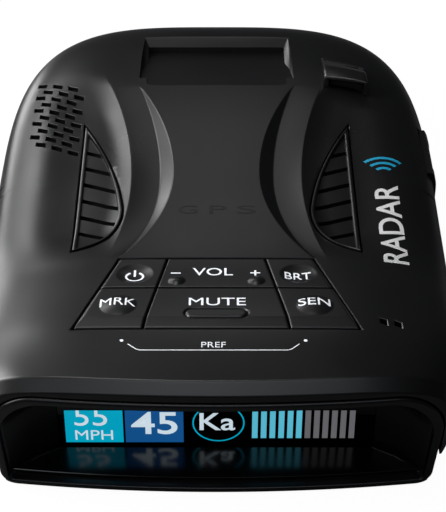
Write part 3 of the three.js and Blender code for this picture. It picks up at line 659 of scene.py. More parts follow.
def gloss_black():
    return material("gloss_black", grey(0.002), grey(0.004), 0.05, 0.09, drift=120, grain=700, depth=0.001)


def legend_ink():
    tint = bpy.context.scene.radar_keys.ink
    dark = tuple(0.85 * c for c in tint[:3])
    # Painted glow: the white ink gets a faint emission, so it stays bright whatever light falls on it.
    painted_glow = {"emission_color": (0.9, 0.95, 1, 1), "emission_strength": 0.3}
    return material("legend_ink", dark, tint[:3], 0.45, 0.55, drift=300, depth=0.001, **painted_glow)


def smoked_lens():
    return material("smoked_lens", grey(0.0015), grey(0.003), 0.03, 0.06, drift=80, grain=600, depth=0.0005)


def tin_plate():
    return material("tin_plate", grey(0.52), grey(0.62), 0.26, 0.4, drift=150, grain=900, metallic=1.0)


def plated_steel():
    return material("plated_steel", grey(0.3), grey(0.38), 0.3, 0.42, drift=200, grain=1500, metallic=1.0)


def component_black():
    return material(
        "component_black", grey(0.01), grey(0.018), 0.42, 0.55, drift=250, grain=2400, depth=0.008
    )


INNER_FINISHES = {
    "silicone": lambda: material("silicone", grey(0.16), grey(0.2), 0.5, 0.6, drift=70),
    "screen": lambda: material(
        "screen", (0.006, 0.02, 0.04), (0.01, 0.035, 0.06), 0.16, 0.24, drift=300, depth=0.001
    ),
    "clear_plastic": lambda: material(
        "clear_plastic", grey(0.5), grey(0.6), 0.04, 0.09, depth=0.001, transmission_weight=0.85
    ),
    "circuit_board": circuit_board,
    "component_black": component_black,
    "tin_plate": tin_plate,
    "die_cast_metal": lambda: material(
        "die_cast_metal", grey(0.26), grey(0.34), 0.42, 0.56,
        drift=120, grain=1400, depth=0.02, metallic=1.0,
    ),
    "ceramic": lambda: material("ceramic", (0.3, 0.27, 0.21), (0.38, 0.34, 0.27), 0.5, 0.62, grain=1800),
    "foam": lambda: material("foam", grey(0.02), grey(0.05), 0.85, 0.95, drift=900, grain=1600, depth=0.12),
    "plated_steel": plated_steel,
    "flex_film": lambda: material("flex_film", (0.3, 0.11, 0.02), (0.38, 0.15, 0.03), 0.25, 0.35),
}


# ------------------------------------------------------------------ upper case
BROW_MIDDLE_Y = -63.4


def front_rows():
    rows = np.linspace(0, CREASE_Y + 0.35, 76).tolist()
    crease = [CREASE_Y + 0.1, CREASE_Y - 0.1, CREASE_Y - 0.35]
    return rows + crease + [BROW_MIDDLE_Y, FRONT_Y + 0.3, FRONT_Y + 0.1, FRONT_Y]


def rim_spread(start, power, steps):
    """Shares from start to 1 that step evenly round a superellipse's shoulder."""
    first = math.acos(start ** (power / 2))
    angle = first * (1 - np.arange(1, steps + 1) / steps) ** 1.4
    return np.cos(angle) ** (2 / power)


def columns_at(y, half, detail):
    edge, foot, ridge = float(panel_edge(y)), float(bevel_foot(y)), float(crest(y))
    run = ridge + CREST_RUN
    if detail:
        inner = edge * np.array([0.1, 0.2, 0.3, 0.4, 0.5, 0.6, 0.7, 0.8, 0.9, 0.96, 0.985, 1])
        bevel = mix(edge, foot, np.array([0.1, 0.3, 0.5, 0.7, 0.9, 1]))
        valley = mix(foot, ridge, np.array([0.04, 0.12, 0.25, 0.4, 0.55, 0.7, 0.82, 0.92, 0.97, 1]))
        fall = mix(ridge, run, np.array([0.03, 0.09, 0.18, 0.3, 0.44, 0.6, 0.8, 1]))
        outer = half * rim_spread(run / half, float(dome_power(y)), 26)
    else:
        inner = edge * np.array([0.5, 1])
        bevel, valley = np.array([foot]), mix(foot, ridge, np.array([0.5, 1]))
        fall = mix(ridge, run, np.array([0.3, 1]))
        outer = half * rim_spread(run / half, float(dome_power(y)), 9)
    right = np.concatenate([inner, bevel, valley, fall, outer])
    return np.concatenate([-right[::-1], [0], right])


def case_sheets(inset, base, detail=True):
    """The case's outer form as an upper and a lower sheet, shrunk all round by inset."""
    upper = []
    rows = front_rows() if detail else front_rows()[:76:5] + [CREASE_Y, FRONT_Y]
    for y in reversed(rows):
        half = float(front_half_width(y))
        x = columns_at(y, half, detail)
        bow = front_bow(x) * smooth(-40, -60, y)
        drop = BROW_DROP * np.clip((CREASE_Y - y) / (CREASE_Y - FRONT_Y), 0, 1)
        if y <= FRONT_Y and detail:
            drop += 0.12
        z = top_height(x, max(y, CREASE_Y)) - drop
        z[[0, -1]] = WIDEST_Z
        upper.append(np.column_stack([x, y + bow, np.maximum(z, WIDEST_Z)]))
    even = np.linspace(0, 0.72, 62 if detail else 10)[1:]
    for v in [*even, *rim_spread(0.72, REAR_POWER, 30 if detail else 9)]:
        half = HALF_WIDTH * (1 - CORNER_PULL * v**4)
        x = columns_at(v * REAR_Y, half, detail)
        y = REAR_Y * v * (1 - CORNER_PULL * (x / half) ** 4)
        near = np.maximum(np.abs(x) / half, v)
        grow = outward(x, y) ** -(near**8)
        x, y = x * grow, y * grow
        z = top_height(x, y)
        z[near > 0.99999] = WIDEST_Z
        upper.append(np.column_stack([x, y, z]))
    upper = np.array(upper)
    upper[..., 0] *= (HALF_WIDTH - inset) / HALF_WIDTH
    upper[..., 1] *= (REAR_Y - inset) / REAR_Y
    upper[..., 1] *= 1 - REAR_PULL * np.clip(upper[..., 1] / REAR_Y, 0, 1) ** 6
    upper[..., 2] -= inset
    lower = upper.copy()
    lower[..., 2] = base
    return upper, lower


def trapezoid(y0, y1, left, right):
    return [(left(y0), y0), (right(y0), y0), (right(y1), y1), (left(y1), y1)]


def curve(p, q, r, steps):
    t = np.linspace(0, 1, steps, endpoint=False)[:, None]
    p, q, r = (np.array(v, float) for v in (p, q, r))
    return (1 - t) ** 2 * p + 2 * t * (1 - t) * q + t**2 * r


def vent_outline(side, grow):
    tip, belly = (VENT_X + grow, 19.6 + 4 * grow), (18.2 - grow, -9.6)
    heel = (VENT_X + grow, -22.9 - grow)
    outline = np.concatenate(
        [
            curve(tip, (19.5 - grow, 4.5), belly, 36),
            curve(belly, (18 - grow, -19.6 - grow), heel, 24),
            np.linspace(heel, tip, 30, endpoint=False),
        ]
    )
    return outline * (side, 1)


POCKET_HALF, POCKET_RIM = 14.9, 16.5
POCKET_BACK, POCKET_RIM_Y, POCKET_FRONT = 51.8, 54.7, 34.0
POCKET_FLOOR = 16.3
SLOT_START, SLOT_STEP, SLOT_ROW = -37.3, 3.4, -2.45
LIGHT_SLOTS = ((29.2, -46.4), (31.7, -47.0))
SCREW_PLACES = {"front": (34.0, -40.0), "rear": (31.0, 48.5)}
WINDOW_HALF, WINDOW_LOW, WINDOW_HIGH = 23.0, 4.7, 13.4
PORTS = {
    "power": {"side": 1, "y": 15.7, "z": 12.2, "mouth": (4.9, 3.0), "frame": (7.4, 3.6), "depth": 11.5},
    "data": {"side": -1, "y": -1.55, "z": 12.4, "mouth": (4.1, 1.6), "frame": (5.35, 2.8), "depth": 6.5},
}
PORT_WALL = 0.5


def bar(name, profile, x0, x1):
    """A solid with one profile in the YZ plane, from x0 to x1."""
    return loft(name, [[(x, y, z) for y, z in profile] for x in (x0, x1)])


def pocket_floor(y):
    front = float(top_height(0, POCKET_FRONT)) - 0.15
    return mix(POCKET_FLOOR, front, (POCKET_BACK - y) / (POCKET_BACK - POCKET_FRONT))


def pocket_tools():
    reach = POCKET_FRONT - 1.5
    well = bar(
        "well",
        [(POCKET_BACK, POCKET_FLOOR), (POCKET_BACK, 26), (reach, 26), (reach, pocket_floor(reach))],
        -POCKET_HALF,
        POCKET_HALF,
    )
    rim = lambda z, half, back: [
        (-half, POCKET_FRONT + 2, z), (half, POCKET_FRONT + 2, z), (half, back, z), (-half, back, z)
    ]
    levels = (
        (17.7, POCKET_HALF, POCKET_BACK), (18.5, POCKET_RIM - 0.6, POCKET_RIM_Y),
        (20.3, POCKET_RIM, POCKET_RIM_Y), (24, POCKET_RIM, POCKET_RIM_Y),
    )
    chamfer = loft("chamfer", [rim(*level) for level in levels])
    above = bar(
        "above",
        [
            (POCKET_RIM_Y + 1, POCKET_FLOOR), (POCKET_RIM_Y + 1, 26), (POCKET_FRONT, 26),
            (POCKET_FRONT, pocket_floor(POCKET_FRONT)), (POCKET_BACK, POCKET_FLOOR),
        ],
        -POCKET_RIM - 1,
        POCKET_RIM + 1,
    )
    return well, boolean(chamfer, above, "INTERSECT")


def port_block(name, port, half, a, b, grow=0.0, bevel=0.0):
    x0, x1 = sorted((port["side"] * a, port["side"] * b))
    y, z = port["y"], port["z"]
    low = (x0, y - half[0] - grow, z - half[1] - grow)
    return block(name, low, (x1, y + half[0] + grow, z + half[1] + grow), bevel)


def arc(cx, cz, radius, start, end, steps):
    a = np.linspace(start, end, steps + 1)
    return np.stack([cx + radius * np.cos(a), cz + radius * np.sin(a)], -1)


def hood_outline(foot, crown, foot_half, side_half, foot_radius, crown_radius):
    """Closed hood outline in the XZ plane."""
    low = arc(foot_half - foot_radius, foot + foot_radius, foot_radius, -math.pi / 2, 0, 10)
    high = arc(side_half - crown_radius, crown - crown_radius, crown_radius, 0, math.pi / 2, 18)
    sill = np.column_stack([np.linspace(0, low[0][0], 16, endpoint=False), np.full(16, foot)])
    side = np.linspace(low[-1], high[0], 8, endpoint=False)[1:]
    roof = np.column_stack([np.linspace(high[-1][0], 0, 20)[1:], np.full(19, crown)])
    right = np.concatenate([sill, low, side, high, roof])
    left = right[1:-1][::-1] * (-1, 1)
    return np.concatenate([right, left])


HOOD_OUTER = (1.2, 22.6, 38, 39, 3, 8.5)
HOOD_MOUTH = (2.4, 21.1, 36.4, 37.2, 0.8, 8)
BAY_BACK = (3.0, 16.3, 28, 28, 0.5, 0.5)
BAY_SLEEVE = (1.6, 18.6, 30.5, 30.5, 0.5, 0.5)
BAY_BACK_Y = -55.8
HOOD_FACE_Y = -65.1
HOOD_LEAN = 0.004


def at_y(outline, y, bowed=True, lean=0.0):
    x, z = outline.T
    return np.column_stack([x, y + (front_bow(x) if bowed else 0) - lean * (22.6 - z), z])


def grown(shape, by):
    foot, crown, foot_half, side_half, foot_radius, crown_radius = shape
    return hood_outline(
        foot - by, crown + by, foot_half + by, side_half + by, foot_radius + by, crown_radius + by
    )


def build_upper_case():
    case = shell("upper_case_shell", *case_sheets(0, SEAM_Z))
    hollow = shell("hollow", *case_sheets(WALL, SEAM_Z - 1, detail=False))
    keep = block("keep", (-18, 32, 13.6), (18, 57, 19))
    for x in (-9, 9):
        boolean(keep, turned("magnet seat", [(4.75, 12), (4.75, 15.95)], (x, 44)))
    boolean(hollow, keep)
    for x, y in SCREW_PLACES.values():
        for side in (-1, 1):
            top = float(top_height(x, y)) - 1.2
            boolean(hollow, turned("boss", [(3.2, SEAM_Z + GAP), (3.2, top)], (side * x, y), 32))
    boolean(case, hollow)
    for x, y in SCREW_PLACES.values():
        for side in (-1, 1):
            boolean(case, turned("bore", [(1.55, 6), (1.55, 14.4)], (side * x, y), 24))
    opening = [at_y(grown(HOOD_OUTER, GAP), -70), at_y(grown(HOOD_OUTER, GAP), -60)]
    boolean(case, loft("hood opening", opening))
    keypad = trapezoid(KEY_FRONT_Y, KEY_BACK_Y, lambda y: -keypad_side(y), keypad_side)
    boolean(case, edge_cutter("keypad", keypad, 10, 0.16))
    for side in (-1, 1):
        boolean(case, edge_cutter("vent", vent_outline(side, GAP), 10, 0.14))
    surface = case.copy()
    surface.data = case.data.copy()
    bpy.context.scene.collection.objects.link(surface)
    grille = bpy.context.scene.radar_case
    long, thin = grille.slot_length * 500, grille.slot_width * 500
    outline = [
        (-long, -thin - SLANT * long), (long, -thin + SLANT * long),
        (long, thin + SLANT * long), (-long, thin - SLANT * long),
    ]
    flat = lambda x, y: np.zeros_like(x)
    slots = edge_cutter("slots", outline, -12, 0.03, flat, step=2)
    pattern(
        slots,
        columns=3,
        rows=grille.slot_rows,
        start=(SLOT_START, 36.4, 20),
        column_step=(SLOT_STEP, SLANT * SLOT_STEP, 0),
        row_step=(0, SLOT_ROW, 0),
        odd_row_shift=(1.45, SLANT * 1.45, 0),
        surface=surface,
    )
    boolean(case, slots)
    bpy.data.objects.remove(surface)
    for tool in pocket_tools():
        boolean(case, tool)
    for x, y in LIGHT_SLOTS:
        corners = [(x - 0.6, y - 0.5), (x + 0.6, y - 1.1), (x + 0.6, y + 0.5), (x - 0.6, y + 1.1)]
        boolean(case, edge_cutter("light slot", corners, 18, 0.08))
    for port in PORTS.values():
        boolean(case, port_block("port", port, port["frame"], 30, 50, GAP))
    window = (-WINDOW_HALF - GAP, 60, 0), (WINDOW_HALF + GAP, 70, WINDOW_HIGH + GAP)
    boolean(case, block("window", *window))
    boolean(case, prism("sensor well", sensor_well(0), 8, 32))
    return piece(case, satin_black(), replaces=["upper_case"])


# ------------------------------------------------------------------ lower case and its fittings
LOWER_CURVE = np.array(
    [(0, 5.2), (0.12, 4.6), (0.4, 4.0), (0.8, 3.5), (1.6, 2.75), (3, 1.9), (5, 1.2), (7.4, 0.72)]
)


def case_outline(z, inset, steps=120):
    turn = np.linspace(0, math.pi, steps + 1)
    part = lambda value: np.sign(value) * np.abs(value) ** (2 / REAR_POWER)
    rear = np.column_stack(
        [(HALF_WIDTH - inset) * part(np.cos(turn)), (REAR_Y - inset) * part(np.sin(turn))]
    )
    down = np.array([-6, -12, -18, -25, -32, -39, -45, -50, -54, -57, -59, -60.6, -61.6])
    side = front_half_width(down) - inset
    left = np.column_stack([-side, down])
    right = np.column_stack([side, down])[::-1]
    outline = np.concatenate([rear, left, right])
    return np.column_stack([outline, np.full(len(outline), z)])


def build_lower_case():
    levels = [*LOWER_CURVE, (LOWER_TOP - 0.12, 0.7), (LOWER_TOP, 0.85)]
    case = loft("lower_case_shell", [case_outline(z, inset) for z, inset in levels])
    hollow = loft("hollow", [case_outline(z, inset, 40) for z, inset in ((2, 6), (3.4, 4.2), (9, 2.9))])
    for x, y in SCREW_PLACES.values():
        for side in (-1, 1):
            boolean(hollow, turned("post", [(3.8, 1), (3.8, LOWER_TOP)], (side * x, y), 32))
    boolean(case, hollow)
    for x, y in SCREW_PLACES.values():
        for side in (-1, 1):
            bore = [(3.1, -1), (3.1, 0), (2.9, 0.2), (2.9, 1.7), (1.6, 1.7), (1.6, 9)]
            boolean(case, turned("bore", bore, (side * x, y)))
    boolean(case, block("hood room", (-50, -70, 0.85), (50, -54.6, 20)))
    window = (-WINDOW_HALF - GAP, 60, WINDOW_LOW - GAP), (WINDOW_HALF + GAP, 70, 20)
    boolean(case, block("window", *window))
    boolean(case, block("label recess", (-20, -18, -1), (20, 12, 0.5), 0.3))
    piece(case, satin_black(), replaces=["lower_case"])
    low, high = node_box("rating_label")
    label = block("rating_label_film", low, high, 0.04)
    piece(label, printed_label(), replaces=["rating_label"])


def build_case_screws():
    """Two recessed screws at the front and two at the rear, underneath."""
    for row, (x, y) in SCREW_PLACES.items():
        head = [
            (1.9, 0.34), (2.3, 0.42), (2.5, 0.62), (2.5, 1.35), (2.35, 1.5),
            (1.2, 1.52), (1.2, 13.3), (0.9, 13.6),
        ]
        screw = turned(f"{row}_case_screws", head, (0, 0), 40)
        boolean(screw, block("slot", (-1.7, -0.3, 0), (1.7, 0.3, 0.9)))
        boolean(screw, block("slot", (-0.3, -1.7, 0), (0.3, 1.7, 0.9)))
        steel = plated_steel()
        pattern(screw, columns=2, rows=1, start=(-x, y, 0), column_step=(2 * x, 0, 0), material=steel)
        nodes = [f"{row}_left_case_screw", f"{row}_right_case_screw"]
        piece(screw, steel, replaces=nodes)


# ------------------------------------------------------------------ display hood and bay
def build_display_hood():
    outer, mouth, back, sleeve = (
        hood_outline(*shape) for shape in (HOOD_OUTER, HOOD_MOUTH, BAY_BACK, BAY_SLEEVE)
    )
    inner = lambda by: grown(HOOD_OUTER, -by)
    rings = [
        at_y(sleeve, BAY_BACK_Y, False),
        at_y(outer, -60.4),
        at_y(outer, HOOD_FACE_Y + 0.7, lean=HOOD_LEAN),
        at_y(inner(0.08), HOOD_FACE_Y + 0.35, lean=HOOD_LEAN),
        at_y(inner(0.28), HOOD_FACE_Y + 0.1, lean=HOOD_LEAN),
        at_y(inner(0.6), HOOD_FACE_Y, lean=HOOD_LEAN),
        at_y(grown(HOOD_MOUTH, 0.35), HOOD_FACE_Y + 0.02, lean=HOOD_LEAN),
        at_y(grown(HOOD_MOUTH, 0.1), HOOD_FACE_Y + 0.14, lean=HOOD_LEAN),
        at_y(mouth, HOOD_FACE_Y + 0.4, lean=HOOD_LEAN),
        at_y(mouth, -63.4),
        at_y(mix(mouth, back, 0.06), -63.1),
        at_y(mix(mouth, back, 0.5), -59.5),
        at_y(back, BAY_BACK_Y, False),
    ]
    hood = loft("display_hood", rings, looped=True)
    piece(hood, satin_black(), replaces=["display_bezel"], sharp=50)
    edge = lambda x, y, z: (x, y + front_bow(x), z)
    across = np.linspace(-35.8, 35.8, 41)

    def plate(z, inset):
        shrink = 1 - inset / 35.8
        front = [edge(x * shrink, -63.2 + inset, z) for x in across]
        return front + [(27.5 - inset, -56.4 - inset, z + 0.6), (-27.5 + inset, -56.4 - inset, z + 0.6)]

    floor = loft("bay_floor", [plate(2.75, 0), plate(3.05, 0), plate(3.15, 0.12)])
    polished = material("bay_black", grey(0.002), grey(0.004), 0.14, 0.19, drift=120, grain=700,
                        depth=0.0004, coat_weight=0.3, coat_roughness=0.16)
    piece(floor, polished, replaces=["bay_floor_panel"], sharp=12)


# ------------------------------------------------------------------ flat marks and lettering
def lettering(text, box, weight=0.0):
    """A word fitted into a box of (left, right, low, high), as flat points and faces."""
    font = bpy.data.curves.new("lettering", "FONT")
    font.body, font.offset, font.resolution_u = text, weight, 5
    holder = bpy.data.objects.new("lettering", font)
    bpy.context.scene.collection.objects.link(holder)
    depsgraph = bpy.context.evaluated_depsgraph_get()
    mesh = bpy.data.meshes.new_from_object(holder.evaluated_get(depsgraph))
    points = np.array([v.co[:2] for v in mesh.vertices])
    faces = [list(p.vertices) for p in mesh.polygons]
    bpy.data.objects.remove(holder)
    bpy.data.curves.remove(font)
    bpy.data.meshes.remove(mesh)
    low, high = points.min(0), points.max(0)
    left, right, bottom, top = box
    return mix(np.array([left, bottom]), np.array([right, top]), (points - low) / (high - low)), faces


def rectangle(left, right, low, high):
    return np.array([(left, low), (right, low), (right, high), (left, high)], float), [[0, 1, 2, 3]]


def band(centre, inner, outer, start=0.0, end=360.0, steps=48):
    """Part of a flat ring; the angles are degrees from +X."""
    a = np.radians(np.linspace(start, end, steps + 1))
    spokes = np.stack([np.cos(a), np.sin(a)], -1)
    points = np.concatenate([centre + inner * spokes, centre + outer * spokes])
    n = steps + 1
    return points, [[i, i + 1, i + 1 + n, i + n] for i in range(steps)]


def disc(centre, radius, steps=32):
    a = np.linspace(0, 2 * math.pi, steps, endpoint=False)
    return centre + radius * np.stack([np.cos(a), np.sin(a)], -1), [list(range(steps))]


def stroke(line, width):
    """A flat band of one width along a line of points."""
    line = np.asarray(line, float)
    along = np.gradient(line, axis=0)
    along /= np.linalg.norm(along, axis=1, keepdims=True)
    across = np.stack([-along[:, 1], along[:, 0]], -1) * width / 2
    n = len(line)
    points = np.concatenate([line - across, line + across])
    return points, [[i, i + 1, i + 1 + n, i + n] for i in range(n - 1)]


def turned_mark(mark, centre, degrees):
    points, faces = mark
    a = math.radians(degrees)
    spin = np.array([(math.cos(a), -math.sin(a)), (math.sin(a), math.cos(a))])
    return points @ spin.T + centre, faces


def marks(name, shapes, place, cell=0.7, thickness=0.05):
    """Thin solid marks made from flat shapes and laid by place(x, y, lift)."""
    work = bmesh.new()
    for points, faces in shapes:
        verts = [work.verts.new((x, y, 0)) for x, y in points]
        for face in faces:
            work.faces.new([verts[i] for i in face])
    bmesh.ops.remove_doubles(work, verts=work.verts, dist=1e-5)
    bmesh.ops.recalc_face_normals(work, faces=work.faces)
    if cell:
        spots = np.array([v.co[:2] for v in work.verts])
        for axis in (0, 1):
            normal = Vector((1, 0, 0) if axis == 0 else (0, 1, 0))
            for at in np.arange(spots[:, axis].min() + cell, spots[:, axis].max(), cell):
                every = work.verts[:] + work.edges[:] + work.faces[:]
                bmesh.ops.bisect_plane(work, geom=every, plane_co=normal * at, plane_no=normal, dist=1e-5)
    raised = bmesh.ops.extrude_face_region(work, geom=work.faces[:])["geom"]
    for item in raised:
        if isinstance(item, bmesh.types.BMVert):
            item.co.z = thickness
    bmesh.ops.recalc_face_normals(work, faces=work.faces)
    flat = np.array([v.co[:] for v in work.verts])
    for vert, spot in zip(work.verts, place(flat[:, 0], flat[:, 1], flat[:, 2] - 0.4 * thickness)):
        vert.co = Vector(spot * MM)
    bmesh.ops.recalc_face_normals(work, faces=work.faces)
    mesh = bpy.data.meshes.new(name)
    work.to_mesh(mesh)
    work.free()
    obj = bpy.data.objects.new(name, mesh)
    bpy.context.scene.collection.objects.link(obj)
    return obj


# ------------------------------------------------------------------ display
LENS_Y = float(node_box("display_lens")[0][1])
CYAN, BLUE, PALE = (0.0, 0.36, 0.54), (0.006, 0.08, 0.26), (0.62, 0.74, 0.82)
BAR_START, BAR_STEP, BAR_LOW, BAR_HIGH = 6.3, 1.56, 4.9, 13.2


def on_display(layer):
    def place(x, z, lift):
        return np.column_stack([x, np.full_like(x, LENS_Y - 0.01 - layer * 0.03) - lift, z])

    return place


def build_display():
    low, high = node_box("display_lens")
    lens = block("display_lens_cover", low, high, 0.15)
    piece(lens, smoked_lens(), replaces=["display_lens"])
    lit = bpy.context.scene.radar_display
    shapes = {
        "speed_tile": (glowing("cyan_glow", CYAN, lit.glow), [rectangle(-26.8, -16.55, 3.85, 14.4)], 0),
        "limit_tile": (glowing("blue_glow", BLUE, lit.glow), [rectangle(-16.15, -5.85, 3.85, 14.4)], 0),
        "band_ring": (glowing("cyan_glow", CYAN, lit.glow), [band((0.35, 8.7), 4.36, 4.62, steps=96)], 0),
        "readings": (
            glowing("white_glow", PALE, lit.glow),
            [
                lettering("55", (-25.1, -19.3, 8.05, 12.6)),
                lettering("MPH", (-25.1, -18.4, 4.5, 6.9)),
                lettering("45", (-15.1, -6.9, 5.9, 11.5), 0.012),
                lettering("Ka", (-3.0, 3.3, 6.9, 11.2), 0.01),
            ],
            1,
        ),
    }
    # Painted shade: a black sheet across the top of the display darkens the lit tiles, bars and ring there,
    # standing in for the hood's shadow.
    mask = marks("display_mask", [rectangle(-28, 28, 11.9, 15.4)], on_display(2), cell=0, thickness=0.02)
    piece(mask, gloss_black(), sharp=30)
    for name, (mat, drawings, layer) in shapes.items():
        sign = marks(name, drawings, on_display(layer), cell=0, thickness=0.02)
        piece(sign, mat, sharp=30)
    for name, mat, first in (
        ("strong_signal_bars", glowing("bar_glow", (0.1, 0.5, 0.66), lit.glow), 0),
        ("weak_signal_bars", glowing("grey_glow", (0.13, 0.13, 0.14), lit.glow), 6),
    ):
        bars = marks(name, [rectangle(0, 1.0, BAR_LOW, BAR_HIGH)], on_display(0), cell=0, thickness=0.02)
        pattern(bars, columns=6, rows=1, start=(BAR_START + first * BAR_STEP, 0, 0),
                column_step=(BAR_STEP, 0, 0), material=mat)
        piece(bars, mat, sharp=30)


# ------------------------------------------------------------------ keys
KEY_ROWS = {
    "back": (KEY_MID_Y + GAP / 2, KEY_BACK_Y - GAP),
    "front": (KEY_FRONT_Y + GAP, KEY_MID_Y - GAP / 2),
}
KEY_COLUMNS = {
    "left": (lambda y: -keypad_side(y) + GAP, lambda y: -divider(y) - GAP / 2),
    "middle": (lambda y: -divider(y) + GAP / 2, lambda y: divider(y) - GAP / 2),
    "right": (lambda y: divider(y) + GAP / 2, lambda y: keypad_side(y) - GAP),
}
KEYS = {
    "power_key": ("back", "left", (-14.9, -31.6, 3.4, -0.65), ((-14, -31.2),)),
    "volume_key": ("back", "middle", None, ((-7.2, -31.2), (7.2, -31.2))),
    "brightness_key": ("back", "right", (14.9, -31.6, 3.4, -0.65), ((14, -31.2),)),
    "mark_key": ("front", "left", (-17.3, -42.5, 3.3, 0.68), ((-17, -42.2),)),
    "mute_key": ("front", "middle", None, ((0, -42.2),)),
    "sensitivity_key": ("front", "right", (17.3, -42.5, 3.3, 0.68), ((17, -42.2),)),
}
EDGE_STEPS = np.array([0, 0.02, 0.06, 0.12, 0.2, 0.3])
KEY_FILLET = 0.3


def key_surface(x, y):
    """Height of the keypad with its bevel round the front and sides, dishes, domes and pill."""
    rise = KEY_RISE * np.clip((KEY_BACK_Y - y) / (KEY_BACK_Y - KEY_FRONT_Y - KEY_BEVEL), 0, 1)
    to_side = (keypad_side(y) - np.abs(x)) / (0.045 * keypad_side(y))
    to_front = (y - KEY_FRONT_Y) / KEY_BEVEL
    share = np.clip(np.minimum(to_side, to_front), 0, 1)
    z = dome_height(x, y) + mix(-0.2, rise, share)
    for _, _, cap, _ in KEYS.values():
        if cap:
            cx, cy, radius, height = cap
            d = np.clip(np.hypot(x - cx, y - cy) / radius, 0, 1)
            z = z + height * (1 - d * d)
    for cx in (-7.2, 7.2):
        d = np.clip(np.hypot(x - cx, y + 34.2) / 1.55, 0, 1)
        z = z + 0.6 * (1 - d * d)
    along = np.hypot(np.maximum(np.abs(x) - 4.1, 0), (y + 44.95))
    z = z + 0.12 * (1 - smooth(0.8, 1.3, along)) - 0.4 * np.exp(-(((along - 1.45) / 0.13) ** 2))
    return z


KEY_ROW_STEP, KEY_COLUMN_STEP = 0.14, 0.16


def graded(low, high, step):
    """Values from low to high, close together at both ends."""
    steps = max(2, math.ceil((high - low - 2 * EDGE_STEPS[-1]) / step))
    middle = np.linspace(low + EDGE_STEPS[-1], high - EDGE_STEPS[-1], steps + 1)
    return np.concatenate([low + EDGE_STEPS[:-1], middle, high - EDGE_STEPS[-2::-1]])


def build_key(name):
    row, column, _, feet = KEYS[name]
    y0, y1 = KEY_ROWS[row]
    left, right = KEY_COLUMNS[column]
    ys = graded(y0, y1, KEY_ROW_STEP)
    count = len(graded(left(y1), right(y1), KEY_COLUMN_STEP))
    upper = []
    for y in ys:
        wide = right(y) - left(y)
        share = graded(0, right(y1) - left(y1), KEY_COLUMN_STEP) / (right(y1) - left(y1))
        x = left(y) + wide * share[:count]
        inside = np.minimum(np.minimum(x - left(y), right(y) - x), min(y - y0, y1 - y))
        short = KEY_FILLET - np.minimum(inside, KEY_FILLET)
        drop = KEY_FILLET - np.sqrt(np.maximum(KEY_FILLET**2 - short**2, 0))
        upper.append(np.column_stack([x, np.full_like(x, y), key_surface(x, y) - drop]))
    upper = np.array(upper)
    lower = upper.copy()
    lower[..., 2] = deck_plane(upper[..., 1])
    key = shell(name + "_cap", upper, lower)
    for x, y in feet:
        z = float(deck_plane(y))
        tilt = math.tan(DECK_ANGLE)
        foot = turned("foot", [(1.5, z - 1.5), (1.5, z + 0.6)], (x, y), 24)
        for vert in foot.data.vertices:
            vert.co.z -= (vert.co.y - y * MM) * tilt
        boolean(key, foot, "UNION")
    return piece(key, key_rubber(), body=name, replaces=[name], sharp=48)


def on_key(x, y, lift):
    return np.column_stack([x, y, key_surface(x, y) + lift])


def build_key_legends():
    icon = (-14.9, -32.0)
    legends = {
        "power_key": [
            band(icon, 1.35, 1.75, 120, 420, 40),
            rectangle(icon[0] - 0.2, icon[0] + 0.2, icon[1] + 0.2, icon[1] + 2.2),
        ],
        "volume_key": [
            lettering("VOL", (-4.3, 3.0, -32.3, -29.7), 0.004),
            rectangle(-8.3, -6.5, -31.65, -31.3),
            rectangle(6.15, 7.95, -31.57, -31.22),
            rectangle(6.87, 7.23, -32.3, -30.5),
        ],
        "brightness_key": [lettering("BRT", (12.4, 17.2, -33.0, -30.6), 0.004)],
        "mark_key": [lettering("MRK", (-20.6, -14.3, -43.2, -40.6))],
        "mute_key": [
            lettering("MUTE", (-4.9, 5.2, -42.6, -40.1)),
        ],
        "sensitivity_key": [lettering("SEN", (14.4, 20.1, -43.2, -40.6), 0.004)],
    }
    for key, shapes in legends.items():
        obj = marks(key + "_legend", shapes, on_key)
        piece(obj, legend_ink(), body=key, sharp=30)


def on_deck(x, y, lift):
    bow = front_bow(x) * smooth(-40, -60, y)
    return np.column_stack([x, y, top_height(x, y - bow) + lift])


def build_deck_marks():
    """Marks on the deck: preferences legend, receiver name and the word on the right shoulder."""
    line = [
        (-15.2, -53.2), (-13.8, -54.5), (-13.2, -54.8), (-2.0, -54.8),
        (12.3, -54.8), (12.9, -54.5), (14.2, -53.2),
    ]
    preferences = [
        lettering("PREF", (-2.6, 1.6, -54.1, -52.7), -0.006),
        disc((-16.3, -52.3), 0.32),
        disc((15.3, -52.3), 0.32),
        stroke(dense_line(line, 0.8), 0.16),
    ]
    piece(marks("preferences_legend", preferences, on_deck), legend_ink(), sharp=30)
    # Painted shade: the receiver name is debossed, and its letters are coloured darker than the case to
    # stand in for the shade in those recesses.
    dark = material("shadow_ink", grey(0.001), grey(0.002), 0.6, 0.7, drift=300, depth=0.001)
    letters = [
        lettering(letter, (left, right, -11.7, -9.1))
        for letter, left, right in (("G", -7.4, -3.6), ("P", -1.4, 2.0), ("S", 3.9, 7.6))
    ]
    receiver = marks("receiver_legend", letters, on_deck)
    piece(receiver, dark, sharp=30)
    word = turned_mark(lettering("RADAR", (-13.0, 13.0, -2.4, 2.4), 0.012), (33.4, -13.2), 90)
    silver = material("silver_ink", grey(0.7), grey(0.8), 0.4, 0.5, drift=300, depth=0.001)
    piece(marks("shoulder_word", [word], on_deck), silver, sharp=30)
    arcs = [band((33.4, 3.4), r, r + 0.7, 48, 132, 20) for r in (1.7, 3.4, 5.1)]
    blue = material("blue_ink", (0.01, 0.3, 0.5), (0.015, 0.36, 0.58), 0.35, 0.45, drift=300, depth=0.001)
    piece(marks("shoulder_arcs", arcs, on_deck), blue, sharp=30)


def dense_line(line, step):
    line = np.asarray(line, float)
    points = [line[0]]
    for a, b in zip(line, line[1:]):
        count = max(1, math.ceil(np.linalg.norm(b - a) / step))
        points += [mix(a, b, (i + 1) / count) for i in range(count)]
    return np.array(points)


